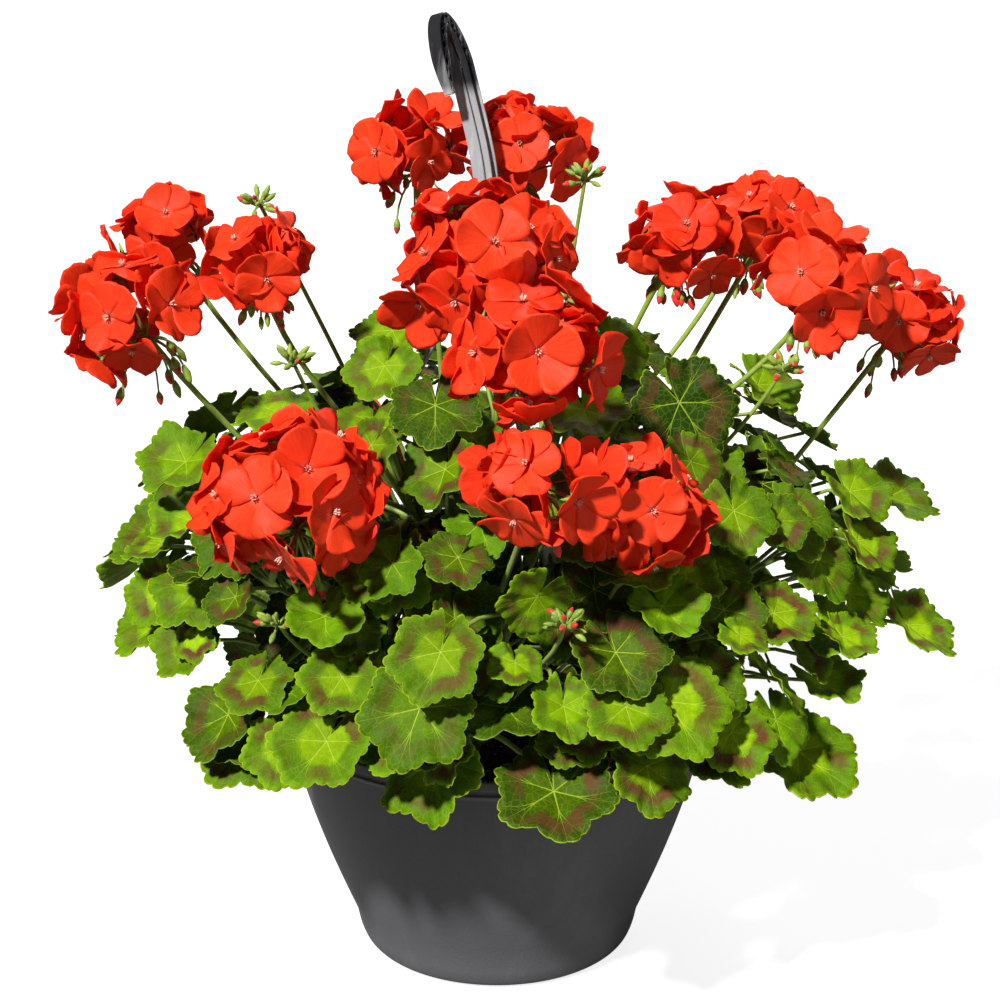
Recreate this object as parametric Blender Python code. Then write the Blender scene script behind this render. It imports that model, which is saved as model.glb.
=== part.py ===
# A zonal geranium in a hanging pot: orange-red heads over a mound of scalloped leaves.
# Metres, +Z up. The origin is the centre of the pot's flat foot, and the front is -Y.
import math

import bmesh
import bpy
import numpy as np

SEED = 11

# Pot, as (radius, height) on its turned profile
RIM_RADIUS = 0.127
POT_HEIGHT = 0.1512
FOOT_RADIUS = 0.0755
FOOT_CORNER = (0.0845, 0.0205)
WALL_TOP = (0.1212, 0.1375)
WALL_BULGE = (0.1170, 0.0975)
WALL = 0.0020
FLOOR = 0.0025
POT_SIDES = 24
DRAIN_HOLES = 5
DRAIN_RADIUS = 0.004
DRAIN_CIRCLE = 0.052

# Soil
SOIL_TOP = 0.128
SOIL_CROWN = 0.004
SEAT_GAP = 0.0003
HOLE_DEPTH = 0.030
HOLE_PLAY = 0.0010

# Hanger: the shank leans as in the photograph, and the hook is a tall narrow loop
HOOK_REACH = 0.0110
HOOK_RISE = 0.0260
HOOK_AZIMUTH = 241
HOOK_TILT = 17
HOOK_SWEEP = 213
HOOK_STEPS = 10
HOOK_WIDTH = 0.008
TIP_WIDTH = 0.005
TIP_RIB_DEPTH = 0.0018
SHANK_TOP = (-0.0189, 0.011, 0.5155)
SHANK_MIDDLE = (-0.0119, 0.008, 0.4845)
SPLIT = (-0.0048, 0.001, 0.4500)
STRAP_WIDTH = 0.012
STRAP_THICK = 0.0022
RIB_WIDTH = 0.003
RIB_DEPTH = 0.0055
ARM_AZIMUTHS = (290, 50, 170)
ARM_WIDTH = 0.0075
ARM_THICK = 0.003
CLIP_WIDTH = 0.010
CLIP_WALL = 0.0018
CLIP_INSIDE = 0.1185
CLIP_FOOT = 0.1455
CLIP_PLAY = 0.0005

# Plant
STEM_RADIUS = 0.0036
OUTER_STEMS = (80, 110, 140, 200, 230, 260, 320, 350, 20)
OUTER_RUN = (0.074, 0.124, 0.212)
INNER_STEMS = (35, 125, 215, 305)
INNER_RUN = (0.030, 0.055, 0.285)
PETIOLE_RADIUS = 0.0015
STALK_RADIUS = 0.0018
BUD_STALK_RADIUS = 0.0014
BUD_ROOM = 0.011
BUD_RADIUS = 0.0026
LEAF_THICK = 0.0010
LEAF_CUP = 0.14
LEAF_RUFFLE = 0.07
# Half a leaf's edge from its tip round: degrees, share of its radius, ripple
LEAF_HALF = ((0, 1.06, -0.4), (28, 0.86, 0.4), (57, 1.06, -0.4),
             (86, 0.87, 0.4), (116, 1.04, -0.3), (150, 1.0, 0.2))
LEAF_NOTCH = (180, 0.27, 0.0)
FILL_LEAF_SIZES = (0.029, 0.037)
FRONT_LEAF_SCALE = 1.1
PETAL_THICK = 0.0008
# One petal's three rim points: degrees from its middle, share of the floret's radius, rise
PETAL_RIM = ((-36, 0.45, -0.02), (-25, 0.96, 0.10), (24, 1.0, 0.14))
FLORET_STALK = (0.0016, 0.0014)
FLORET_RADIUS = 0.0250
FLORET_DISTANCE = 0.035
HEAD_FLATTEN = 0.82
CORE_RADIUS = 0.023
CORE_TOP = 0.020
CORE_FOOT = 0.017
MOUND = (0.222, 0.212, 0.150)
MOUND_HEIGHT = 0.212
FILL_LEAVES = 50
LOWEST_FRONT_LEAF = 0.190
LOWEST_SIDE_LEAF = 0.215
LOWEST_BACK_LEAF = 0.165
SIDE_START = 0.150

# How many places are tried for each kind of piece, and the room it keeps to other nodes
FLORET_TRIES = 40
BUD_TRIES = 12
FRONT_TRIES = 30
FILL_TRIES = 25
STALK_ROOM = 0.0010
LEAF_ROOM = 0.0006
FLORET_ROOM = 0.0008

# Flower heads: across, back, up (mm), size, florets, lean outwards (degrees)
HEADS = (
    ("left_upper", -184, 10, 419, 0.74, 5, 30),
    ("left_outer", -195, -58, 392, 0.92, 6, 35),
    ("left_inner", -125, -70, 423, 0.70, 4, 15),
    ("top_left", -49, 44, 460, 0.78, 5, 15),
    ("top_right", 15, 44, 459, 0.90, 6, 5),
    ("centre_upper", -6, -98, 428, 1.12, 8, 15),
    ("centre_lower", 17, -164, 401, 0.94, 6, 30),
    ("right_inner", 101, -15, 421, 0.76, 5, 30),
    ("right_upper", 154, 32, 422, 0.78, 5, 30),
    ("right_middle", 174, -42, 403, 0.88, 6, 30),
    ("right_outer", 228, 10, 371, 0.80, 5, 35),
    ("front_left", -103, -170, 325, 1.16, 8, 20),
    ("front_centre", 21, -203, 347, 0.78, 5, 50),
    ("front_right", 70, -172, 322, 0.88, 7, 60),
    ("back_left", -100, 185, 240, 0.90, 5, 55),
    ("back_centre", -18, 130, 386, 0.90, 5, 25),
    ("back_right", 148, 130, 398, 0.80, 5, 30),
)

# Leaves seen at the front: across, back, up, radius (mm), lift and turn of the face (degrees)
FRONT_LEAVES = (
    (-129, -140, 186, 31, 45, -25),
    (-34, -172, 189, 35, 32, -48),
    (29, -190, 176, 33, 58, 0),
    (5, -178, 223, 28, 66, 5),
    (77, -180, 185, 25, 40, 35),
    (161, -122, 168, 32, 58, 30),
    (116, -150, 186, 27, 45, 25),
    (104, -152, 224, 28, 45, 20),
    (60, -180, 248, 26, 45, 10),
    (-23, -160, 259, 32, 25, 10),
    (-65, -145, 208, 27, 60, 0),
    (-52, -152, 285, 25, 30, -20),
    (-186, -60, 222, 27, 40, -55),
    (-186, -40, 262, 26, 50, -45),
    (-167, -70, 314, 25, 55, -30),
    (-158, -100, 254, 27, 60, -20),
    (-162, -102, 220, 23, 45, -40),
    (181, -90, 185, 25, 60, 45),
    (153, -112, 199, 23, 40, 50),
    (234, -20, 201, 27, 50, 60),
    (207, -50, 214, 26, 35, 60),
    (223, 0, 271, 25, 55, 60),
    (196, -30, 284, 23, 50, 40),
    (200, -42, 259, 22, 45, 50),
    (156, -82, 288, 26, 50, 30),
    (123, -120, 303, 23, 40, 20),
    (173, -82, 262, 23, 45, 40),
    (103, -150, 278, 24, 50, 15),
    (159, -112, 252, 25, 55, 30),
    (84, -168, 268, 21, 55, 15),
    (178, -90, 226, 24, 55, 40),
    (-57, -30, 376, 22, 60, -20),
    (-60, -62, 365, 22, 45, -10),
    (-32, -100, 354, 26, 55, 0),
    (-118, -45, 334, 24, 75, -40),
    (-64, -90, 342, 24, 62, -10),
    (-21, -130, 330, 25, 30, -40),
    (-57, -122, 335, 22, 50, -20),
    (62, -28, 368, 23, 45, 40),
    (46, -80, 346, 25, 60, 10),
    (98, -60, 344, 31, 20, 15),
    (144, -20, 343, 25, 50, 45),
    (106, -108, 324, 22, 40, 20),
    (-135, -125, 290, 24, 50, -30),
    (-105, -148, 245, 26, 50, -20),
    (120, -145, 255, 22, 45, 25),
)

# Young bud clusters: across, back, up (mm)
BUD_CLUSTERS = (
    (47, -40, 463),
    (-107, -85, 374),
    (156, -45, 360),
    (-112, -160, 257),
    (34, -200, 272),
    (-131, -50, 448),
)

GREEN = (0.14, 0.30, 0.03)
RED = (0.85, 0.06, 0.02)
GREY = (0.055, 0.055, 0.058)
BLACK = (0.02, 0.02, 0.022)
BROWN = (0.035, 0.024, 0.016)


def clear_scene():
    for old in list(bpy.data.objects):
        bpy.data.objects.remove(old)


def new_material(name, colour, roughness):
    material = bpy.data.materials.new(name)
    material.use_nodes = True
    shader = material.node_tree.nodes["Principled BSDF"]
    shader.inputs["Base Color"].default_value = (*colour, 1)
    shader.inputs["Roughness"].default_value = roughness
    shader.inputs["Metallic"].default_value = 0.0
    material.diffuse_color = (*colour, 1)
    return material


def new_object(name, shape, material=None):
    points, faces = shape
    mesh = bpy.data.meshes.new(name)
    mesh.from_pydata([tuple(map(float, p)) for p in points], [], faces)
    mesh.update()
    made = bpy.data.objects.new(name, mesh)
    bpy.context.collection.objects.link(made)
    if material:
        mesh.materials.append(material)
    return made


def shade(made, degrees=35):
    made.data.shade_smooth()
    made.data.set_sharp_from_angle(angle=math.radians(degrees))


def unit(vector):
    vector = np.asarray(vector, float)
    return vector / np.linalg.norm(vector)


def polar(azimuth, radius=1.0, height=0.0):
    angle = math.radians(azimuth)
    return np.array([radius * math.cos(angle), radius * math.sin(angle), height])


def bezier(controls, steps):
    """Points on a quadratic or cubic curve."""
    points = []
    for t in np.linspace(0, 1, steps + 1):
        level = [np.asarray(c, float) for c in controls]
        while len(level) > 1:
            level = [a + (b - a) * t for a, b in zip(level[:-1], level[1:])]
        points.append(level[0])
    return np.array(points)


# Solid shapes, as (points, faces)
def turned(profile, sides):
    """A closed solid of revolution. The profile runs up the inside or axis and down the outside."""
    points, rows = [], []
    for radius, height in profile:
        if radius == 0:
            rows.append([len(points)] * sides)
            points.append((0, 0, height))
            continue
        rows.append(list(range(len(points), len(points) + sides)))
        points += [tuple(polar(360 * i / sides, radius, height)) for i in range(sides)]
    faces = []
    for upper, lower in zip(rows, rows[1:] + rows[:1]):
        for i in range(sides):
            j = (i + 1) % sides
            corners = [upper[i], lower[i], lower[j], upper[j]]
            corners = [c for n, c in enumerate(corners) if c not in corners[:n]]
            if len(corners) > 2:
                faces.append(corners)
    return points, faces


def swept(path, sections, caps=True):
    """A solid through rings of points: one ring of section points at each point of the path."""
    count = len(sections[0])
    points = [p for ring in sections for p in ring]
    faces = []
    for k in range(len(path) - 1):
        for i in range(count):
            j = (i + 1) % count
            a, b = k * count + i, k * count + j
            faces.append([a, b, b + count, a + count])
    if caps:
        last = (len(path) - 1) * count
        faces.append(list(range(count))[::-1])
        faces.append(list(range(last, last + count)))
    return points, faces


def frames_along(path, side):
    """(tangent, side, up) at each point, with the side vector carried along the path."""
    path = np.asarray(path, float)
    tangents = np.gradient(path, axis=0)
    found = []
    for tangent in tangents:
        tangent = unit(tangent)
        side = unit(np.asarray(side, float) - tangent * np.dot(side, tangent))
        found.append((tangent, side, np.cross(tangent, side)))
    return found


def tube(path, radii, sides, end=None):
    """A slender tube, whose last ring faces along end."""
    path = np.asarray(path, float)
    first = unit(path[1] - path[0])
    side = np.cross(first, [0, 0, 1]) if abs(first[2]) < 0.9 else np.cross(first, [1, 0, 0])
    frames = frames_along(path, side)
    if end is not None:
        last = unit(frames[-1][1] - end * np.dot(frames[-1][1], end))
        frames[-1] = (end, last, np.cross(end, last))
    rings = []
    for point, radius, (_, across, up) in zip(path, radii, frames):
        turns = [2 * math.pi * i / sides for i in range(sides)]
        rings.append([point + radius * (math.cos(a) * across + math.sin(a) * up) for a in turns])
    return swept(path, rings)


def stalked_blade(origin, axes, rim, middle, thick, path, radii):
    """A thin fan of triangles, alike on both faces, grown in one with its three-sided stalk.

    The path runs from the blade's underside down the stalk."""
    count = len(rim)
    upper = [(0, 0, middle + thick / 2)] + [(x, y, z + thick / 2) for x, y, z in rim]
    lower = [(x, y, z - thick / 2) for x, y, z in rim]
    collar = []
    for k in range(3):
        angle = 2 * math.pi * k / 3
        collar.append((radii[0] * math.sin(angle), radii[0] * math.cos(angle), middle - thick / 2))
    points = list(np.array(upper + lower + collar) @ axes + origin)
    frames = frames_along(path, axes[1])
    for point, radius, (_, side, up) in list(zip(path, radii, frames))[1:]:
        for k in range(3):
            angle = 2 * math.pi * k / 3
            points.append(point + radius * (math.cos(angle) * side + math.sin(angle) * up))
    faces = []
    turns = [math.atan2(x, y) for x, y, _ in rim]
    nearest = [round(turn % (2 * math.pi) / (2 * math.pi / 3)) % 3 for turn in turns]
    first = 2 * count + 1
    for i in range(count):
        j = (i + 1) % count
        a, b = 1 + i, 1 + j
        c, d = a + count, b + count
        faces += [[0, b, a], [a, b, d], [a, d, c], [c, d, first + nearest[i]]]
        if nearest[i] != nearest[j]:
            faces.append([d, first + nearest[j], first + nearest[i]])
    for ring in range(len(path) - 1):
        for k in range(3):
            a, b = first + 3 * ring + k, first + 3 * ring + (k + 1) % 3
            faces.append([a, b, b + 3, a + 3])
    end = len(points) - 3
    faces.append([end, end + 1, end + 2])
    return points, faces


# The plan: where each leaf, stalk and floret goes, clear of the other nodes
def face_axes(normal, tip):
    """Rows: across, along the tip, out of the face."""
    out = unit(normal)
    across = unit(np.cross(tip, out))
    return np.array([across, np.cross(out, across), out])


def outline_reach(angle):
    """A round leaf is longest at its tip, and its stalk stands off its middle."""
    return 0.87 + 0.13 * np.cos(angle)


def blade_item(node, origin, axes, size, cup, girth, lobed):
    points = [np.zeros(3)]
    for share, count in ((0.5, 10), (1.0, 30)):
        for i in range(count):
            angle = 2 * math.pi * (i + share) / count
            outline = outline_reach(angle) if lobed else 1.0
            reach = size * share * outline
            points.append(reach * np.array([math.sin(angle), math.cos(angle), cup * outline]))
    points = np.array(points) @ axes + origin
    return dict(node=node, points=points, girth=girth, centre=origin, far=size * 1.05,
                axes=axes, size=size, cup=cup, lobed=lobed, origin=origin)


def tube_item(node, path, girth):
    path = np.asarray(path, float)
    points = [path[0]]
    for a, b in zip(path[:-1], path[1:]):
        steps = max(1, int(np.linalg.norm(b - a) / 0.005))
        points += [a + (b - a) * k / steps for k in range(1, steps + 1)]
    points = np.array(points)
    centre = (points.min(0) + points.max(0)) / 2
    far = np.linalg.norm(points - centre, axis=1).max()
    return dict(node=node, points=points, girth=girth, centre=centre, far=far, axes=None)


def distance_to_blade(points, item):
    local = (points - item["origin"]) @ item["axes"].T
    spread = np.hypot(local[:, 0], local[:, 1])
    outline = outline_reach(np.arctan2(local[:, 0], local[:, 1])) if item["lobed"] else 1.0
    inside = np.minimum(spread, item["size"] * outline)
    return np.hypot(spread - inside, local[:, 2] - item["cup"] * outline * inside).min()


def gap_between(a, b):
    nearest = []
    if a["axes"] is not None:
        nearest.append(distance_to_blade(b["points"], a))
    if b["axes"] is not None:
        nearest.append(distance_to_blade(a["points"], b))
    if not nearest:
        apart = a["points"][:, None, :] - b["points"][None, :, :]
        nearest.append(np.sqrt((apart * apart).sum(-1)).min())
    return min(nearest) - a["girth"] - b["girth"]


class Plan:
    """Everything placed so far."""

    def __init__(self):
        self.items = []
        self.centres = np.zeros((0, 3))
        self.fars = np.zeros(0)

    def add(self, *items):
        for item in items:
            self.items.append(item)
            self.centres = np.vstack([self.centres, item["centre"]])
            self.fars = np.append(self.fars, item["far"])

    def clear(self, item, room, own_room=0.0):
        """True where the item keeps its room to other nodes, and its own room to its node's blades."""
        apart = np.linalg.norm(self.centres - item["centre"], axis=1) - self.fars - item["far"]
        for index in np.nonzero(apart < 0.012)[0]:
            other = self.items[index]
            need = room
            if other["node"] == item["node"]:
                if other["axes"] is None:
                    continue
                need = own_room
            if gap_between(item, other) < need:
                return False
        return True


def arm_path(azimuth):
    top = np.array(SPLIT) + polar(azimuth, 0.002)
    foot = polar(azimuth, 0.1205, POT_HEIGHT + 0.0010)
    down = top + polar(azimuth, 0.010) - np.array([0, 0, 0.10])
    up = foot + polar(azimuth, -0.012) + np.array([0, 0, 0.12])
    return bezier((top, down, up, foot), 6)


def stem_path(azimuth, inner):
    """Straight up out of its hole, then leaning outwards."""
    radius, top_radius, top = INNER_RUN if inner else OUTER_RUN
    foot = polar(azimuth, radius, SOIL_TOP - HOLE_DEPTH + 0.004)
    mouth = polar(azimuth, radius, SOIL_TOP + SOIL_CROWN + 0.002)
    bend = (mouth, mouth + [0, 0, 0.035], polar(azimuth, top_radius, top))
    return np.vstack([foot, bezier(bend, 2)])


def along(path, share):
    place = share * (len(path) - 1)
    k = min(int(place), len(path) - 2)
    return path[k] + (path[k + 1] - path[k]) * (place - k)


def stalk_path(start, end, arrival, bow, steps):
    """A leaf or flower stalk: up out of the stem, and into its end along the arrival."""
    length = np.linalg.norm(end - start)
    rise = unit(unit(end - start) + np.array([0, 0, bow]))
    first = start + rise * length * 0.35
    second = end - arrival * length * 0.3
    return bezier((start, first, second, end), steps)


def choose_stalk(plan, stems, target, arrival, girth, steps, tested=1.0):
    """The first stalk, from the nearest stems on, that stays clear of the other pieces.

    The tested share of its last stretch leaves out the part that a head covers."""
    order = sorted(range(len(stems)), key=lambda k: np.linalg.norm(stems[k][-1] - target))
    for k in order[:8]:
        node = "stem_%02d" % (k + 1)
        taken = sum(item["node"] == node for item in plan.items)
        for n in range(5):
            share = 0.42 + 0.56 * ((0.618 * (taken + n)) % 1.0)
            start = along(stems[k], share)
            for bow in (0.35, 0.9, 0.0, 1.6):
                path = stalk_path(start, target, arrival, bow, steps)
                last = [path[-2], along(path[-2:], tested)]
                if plan.clear(tube_item(node, path[:-1], girth), STALK_ROOM):
                    if plan.clear(tube_item(node, last, girth), STALK_ROOM):
                        return node, path
    return None, None


def plan_heads(plan, rng):
    """Cores and florets. A floret takes the first place near its own that is clear."""
    heads = []
    for name, x, y, z, size, count, lean in HEADS:
        centre = np.array([x, y, z]) / 1000
        outward = unit([x, y, 0.0])
        tilt = math.radians(lean)
        axis = math.cos(tilt) * np.array([0, 0, 1]) + math.sin(tilt) * outward
        node = "head_" + name
        side = unit(np.cross(axis, [1, 0, 0.1]))
        third = np.cross(axis, side)
        ends = [centre - axis * 0.006 * size, centre + axis * 0.010 * size]
        plan.add(tube_item(node, ends, CORE_RADIUS * size))
        heads.append(dict(node=node, centre=centre, axis=axis, size=size, side=side,
                          third=third, florets=[], count=count))
    for head in heads:
        phase = rng.uniform(0, 360)
        spacing = math.sqrt(7.7 / (0.866 * head["count"]))
        widest = min(FLORET_RADIUS, 0.97 * FLORET_DISTANCE * math.tan(spacing / 2)) * head["size"]
        for i in range(head["count"]):
            for attempt in range(FLORET_TRIES):
                loose = attempt / FLORET_TRIES
                cosine = 0.97 - (i + 0.25) / head["count"] * 1.22
                cosine = np.clip(cosine + rng.normal(0, 0.04 + 0.12 * loose), -0.45, 0.99)
                turn = math.radians(phase + 137.5 * i) + rng.normal(0, 0.08 + 0.5 * loose)
                sine = math.sqrt(1 - cosine * cosine)
                flat = math.cos(turn) * head["side"] + math.sin(turn) * head["third"]
                way = cosine * head["axis"] + sine * flat
                reach = HEAD_FLATTEN * cosine * head["axis"] + sine * flat
                distance = (FLORET_DISTANCE + rng.uniform(-0.003, 0.003)) * head["size"]
                face = unit(way + rng.normal(0, 0.10, 3))
                axes = face_axes(face, head["side"] + 0.3 * head["third"])
                spin = rng.uniform(0, 72)
                radius = widest * (0.92 + 0.14 * rng.random()) * (1 - 0.15 * loose)
                origin = head["centre"] + reach * distance
                item = blade_item(head["node"], origin, axes, radius, 0.12, 0.0016, False)
                if plan.clear(item, FLORET_ROOM, -FLORET_ROOM):
                    head["florets"].append(dict(origin=origin, axes=axes, radius=radius, spin=spin))
                    plan.add(item)
                    break
    return heads


def plan_stalks(plan, stems, heads):
    """A flower stalk for each head, ending just under its core."""
    stalks = []
    for head in heads:
        end = head["centre"] - head["axis"] * (CORE_FOOT * head["size"] + SEAT_GAP)
        stop = end - head["axis"] * 0.004
        node, path = choose_stalk(plan, stems, stop, head["axis"], STALK_RADIUS, 3, 0.8)
        path = np.vstack([path, end])
        plan.add(tube_item(node, path[:-1], STALK_RADIUS))
        stalks.append(dict(node=node, path=path, end=head["axis"]))
    return stalks


def plan_buds(plan, stems, rng):
    clusters = []
    for x, y, z in BUD_CLUSTERS:
        place = np.array([x, y, z]) / 1000
        for attempt in range(BUD_TRIES):
            spot = place + rng.normal(0, 0.003 * attempt, 3)
            ball = tube_item("", [spot - [0, 0, 0.003], spot + [0, 0, 0.003]], BUD_ROOM)
            node, path = choose_stalk(plan, stems, spot, unit([x, y, 300]), BUD_STALK_RADIUS, 3)
            if node is None:
                continue
            ball["node"] = node
            if plan.clear(ball, STALK_ROOM):
                plan.add(ball, tube_item(node, path, BUD_STALK_RADIUS))
                clusters.append(dict(node=node, path=path, spot=spot, phase=rng.uniform(0, 6)))
                break
    return clusters


def leaf_try(plan, stems, origin, normal, tip, size, rng):
    axes = face_axes(normal, tip)
    item = blade_item("", origin, axes, size, LEAF_CUP, 0.0008 + 0.055 * size, True)
    if not plan.clear(item, LEAF_ROOM):
        return None
    arrival = unit(normal * 0.6 + axes[1] * 0.8)
    node, path = choose_stalk(plan, stems, origin, arrival, PETIOLE_RADIUS, 2)
    if node is None:
        return None
    item["node"] = node
    plan.add(item)
    for part in (path[:2], path[1:]):
        plan.add(tube_item(node, part, PETIOLE_RADIUS))
    return dict(node=node, origin=origin, axes=axes, size=size, path=path, phase=rng.uniform(0, 6))


def plan_leaves(plan, stems, rng):
    leaves = []
    for x, y, z, radius, lift, turn in FRONT_LEAVES:
        place = np.array([x, y, z]) / 1000
        for attempt in range(FRONT_TRIES):
            loose = attempt / FRONT_TRIES
            up = math.radians(lift + rng.normal(0, 14 * loose))
            way = polar(turn - 90 + rng.normal(0, 18 * loose))
            normal = math.cos(up) * way + math.sin(up) * np.array([0, 0, 1])
            tip = unit([x, y, 0]) * 0.5 + np.array([0, 0, -1]) + rng.normal(0, 0.2, 3)
            spot = place + rng.normal(0, 0.012 * loose, 3) + [0, 0.01 * loose, 0]
            size = FRONT_LEAF_SCALE * radius / 1000 * (1 - 0.2 * loose)
            made = leaf_try(plan, stems, spot, normal, tip, size, rng)
            if made:
                leaves.append(made)
                break
        else:
            print("left out front leaf", x, y, z)
    for i in range(FILL_LEAVES):
        for attempt in range(FILL_TRIES):
            loose = attempt / FILL_TRIES
            height = 0.93 - 1.45 * (i + 0.5) / FILL_LEAVES + rng.normal(0, 0.03 + 0.1 * loose)
            height = max(-0.6, min(0.97, height))
            azimuth = 137.5 * i + rng.normal(0, 6 + 25 * loose)
            flat = math.sqrt(1 - height * height)
            way = polar(azimuth, flat, height)
            shrink = 1 - rng.uniform(0, 0.12 + 0.25 * loose)
            spot = np.array(MOUND) * way * shrink + [0, 0, MOUND_HEIGHT]
            lowest = LOWEST_FRONT_LEAF if spot[1] < 0.05 else LOWEST_BACK_LEAF
            if spot[2] < (LOWEST_SIDE_LEAF if abs(spot[0]) > SIDE_START else lowest):
                continue
            normal = unit(way + np.array([0, 0, 0.75]) + rng.normal(0, 0.22, 3))
            tip = polar(azimuth) * 0.6 - np.array([0, 0, 1]) + rng.normal(0, 0.3, 3)
            size = rng.uniform(*FILL_LEAF_SIZES) * (1 - 0.2 * loose)
            made = leaf_try(plan, stems, spot, normal, tip, size, rng)
            if made:
                leaves.append(made)
                break
    return leaves


def make_plan():
    """Fixed pieces first, then stems, heads with their stalks, buds, and leaves where there is room."""
    rng = np.random.default_rng(SEED)
    plan = Plan()
    wall = bezier((FOOT_CORNER, WALL_BULGE, WALL_TOP), 6)
    for radius, height in list(wall) + [(RIM_RADIUS, 0.142), (RIM_RADIUS, POT_HEIGHT)]:
        circle = [polar(4 * k, radius - 0.001, height) for k in range(90)]
        plan.add(tube_item("pot", circle, 0.003))
    for azimuth in ARM_AZIMUTHS:
        clip = [polar(azimuth, radius, POT_HEIGHT) for radius in (CLIP_INSIDE, RIM_RADIUS)]
        plan.add(tube_item("hanger", arm_path(azimuth), ARM_WIDTH * 0.64))
        plan.add(tube_item("hanger", clip, CLIP_WIDTH * 0.65))
    plan.add(tube_item("hanger", [SPLIT, SHANK_MIDDLE, SHANK_TOP], STRAP_WIDTH * 0.625))
    stems = [stem_path(a, False) for a in OUTER_STEMS] + [stem_path(a, True) for a in INNER_STEMS]
    for k, path in enumerate(stems):
        plan.add(tube_item("stem_%02d" % (k + 1), path, STEM_RADIUS))
    heads = plan_heads(plan, rng)
    stalks = plan_stalks(plan, stems, heads)
    buds = plan_buds(plan, stems, rng)
    leaves = plan_leaves(plan, stems, rng)
    return stems, heads, stalks, buds, leaves


# Solids of each kind of piece
def leaf_rim(size, phase):
    """Waved lobes round the stalk, and the notch where it joins."""
    rim = []
    right = [(360 - degrees, share, ripple) for degrees, share, ripple in LEAF_HALF[:0:-1]]
    for degrees, share, ripple in (*LEAF_HALF, LEAF_NOTCH, *right):
        angle = math.radians(degrees)
        reach = outline_reach(angle) * share
        wave = LEAF_RUFFLE * (math.sin(2.6 * angle + phase) * 0.6 + ripple)
        rim.append((size * reach * math.sin(angle), size * reach * math.cos(angle),
                    size * (LEAF_CUP * reach * reach + wave * reach)))
    return rim


def leaf_shape(leaf):
    rim = leaf_rim(leaf["size"], leaf["phase"])
    path = leaf["path"][::-1]
    radii = np.linspace(PETIOLE_RADIUS * 0.9, PETIOLE_RADIUS * 1.1, len(path))
    return stalked_blade(leaf["origin"], leaf["axes"], rim, 0.0, LEAF_THICK, path, radii)


def floret_shape(floret, head):
    """Five petals cut from one arched blade, on a short stalk that is sunk in the core."""
    rim = []
    radius = floret["radius"]
    for k in range(5):
        for offset, reach, rise in PETAL_RIM:
            angle = math.radians(floret["spin"] + 72 * k + offset)
            flat = radius * reach
            rim.append((flat * math.sin(angle), flat * math.cos(angle), radius * rise))
    root = head["centre"] + (floret["origin"] - head["centre"]) * 0.35
    path = np.array([floret["origin"], root])
    return stalked_blade(floret["origin"], floret["axes"], rim, -0.0015, PETAL_THICK, path, FLORET_STALK)


def core_shape(head):
    """The dense middle of a head, with a flat seat for its stalk."""
    points = []
    for height, radius in ((-CORE_FOOT, 0.009), (0.002, CORE_RADIUS)):
        middle = head["centre"] + head["axis"] * height * head["size"]
        for k in range(5):
            angle = 2 * math.pi * k / 5
            flat = math.cos(angle) * head["side"] + math.sin(angle) * head["third"]
            points.append(middle + radius * head["size"] * flat)
    points.append(head["centre"] + head["axis"] * CORE_TOP * head["size"])
    faces = [[4, 3, 2, 1, 0]]
    for k in range(5):
        j = (k + 1) % 5
        faces += [[k, j, j + 5, k + 5], [k + 5, j + 5, 10]]
    return points, faces


def bud_shapes(cluster):
    """Pointed buds in a loose knot on a nodding stalk."""
    radii = np.linspace(BUD_STALK_RADIUS, BUD_STALK_RADIUS * 0.8, len(cluster["path"]))
    shapes = [tube(cluster["path"], radii, 3)]
    for i in range(4):
        turn = cluster["phase"] + 2.4 * i
        way = unit([math.cos(turn), math.sin(turn), -0.5 + 0.45 * i])
        middle = cluster["spot"] + way * 0.0045
        side = unit(np.cross(way, [0.3, 0.2, 1]))
        third = np.cross(way, side)
        corners = [2 * math.pi * k / 3 for k in range(3)]
        ring = [middle + BUD_RADIUS * (math.cos(a) * side + math.sin(a) * third) for a in corners]
        points = [cluster["spot"] - way * 0.002] + ring + [middle + way * 0.006]
        faces = [[0, 2, 1], [0, 3, 2], [0, 1, 3], [4, 1, 2], [4, 2, 3], [4, 3, 1]]
        shapes.append((points, faces))
    return shapes


def outward(shape):
    """The same closed shape with its faces turned to point out."""
    mesh = bmesh.new()
    points, faces = shape
    corners = [mesh.verts.new(tuple(map(float, p))) for p in points]
    for face in faces:
        mesh.faces.new([corners[i] for i in face])
    bmesh.ops.triangulate(mesh, faces=[f for f in mesh.faces if len(f.verts) > 4])
    bmesh.ops.recalc_face_normals(mesh, faces=mesh.faces)
    mesh.verts.index_update()
    points = [tuple(v.co) for v in mesh.verts]
    faces = [[v.index for v in f.verts] for f in mesh.faces]
    mesh.free()
    return points, faces


def keep_body(mesh):
    """Drops loose scraps and the walls of sealed hollows, keeping the largest closed body."""
    work = bmesh.new()
    work.from_mesh(mesh)
    bmesh.ops.triangulate(work, faces=work.faces)
    left = set(work.faces)
    bodies = []
    while left:
        body = [left.pop()]
        for face in body:
            for edge in face.edges:
                for near in edge.link_faces:
                    if near in left:
                        left.remove(near)
                        body.append(near)
        volume = sum(f.verts[0].co.dot(f.verts[1].co.cross(f.verts[2].co)) for f in body)
        bodies.append((volume, body))
    bodies.sort(key=lambda entry: entry[0])
    scrap = [face for _, body in bodies[:-1] for face in body]
    bmesh.ops.delete(work, geom=scrap, context="FACES")
    work.to_mesh(mesh)
    work.free()


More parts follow.
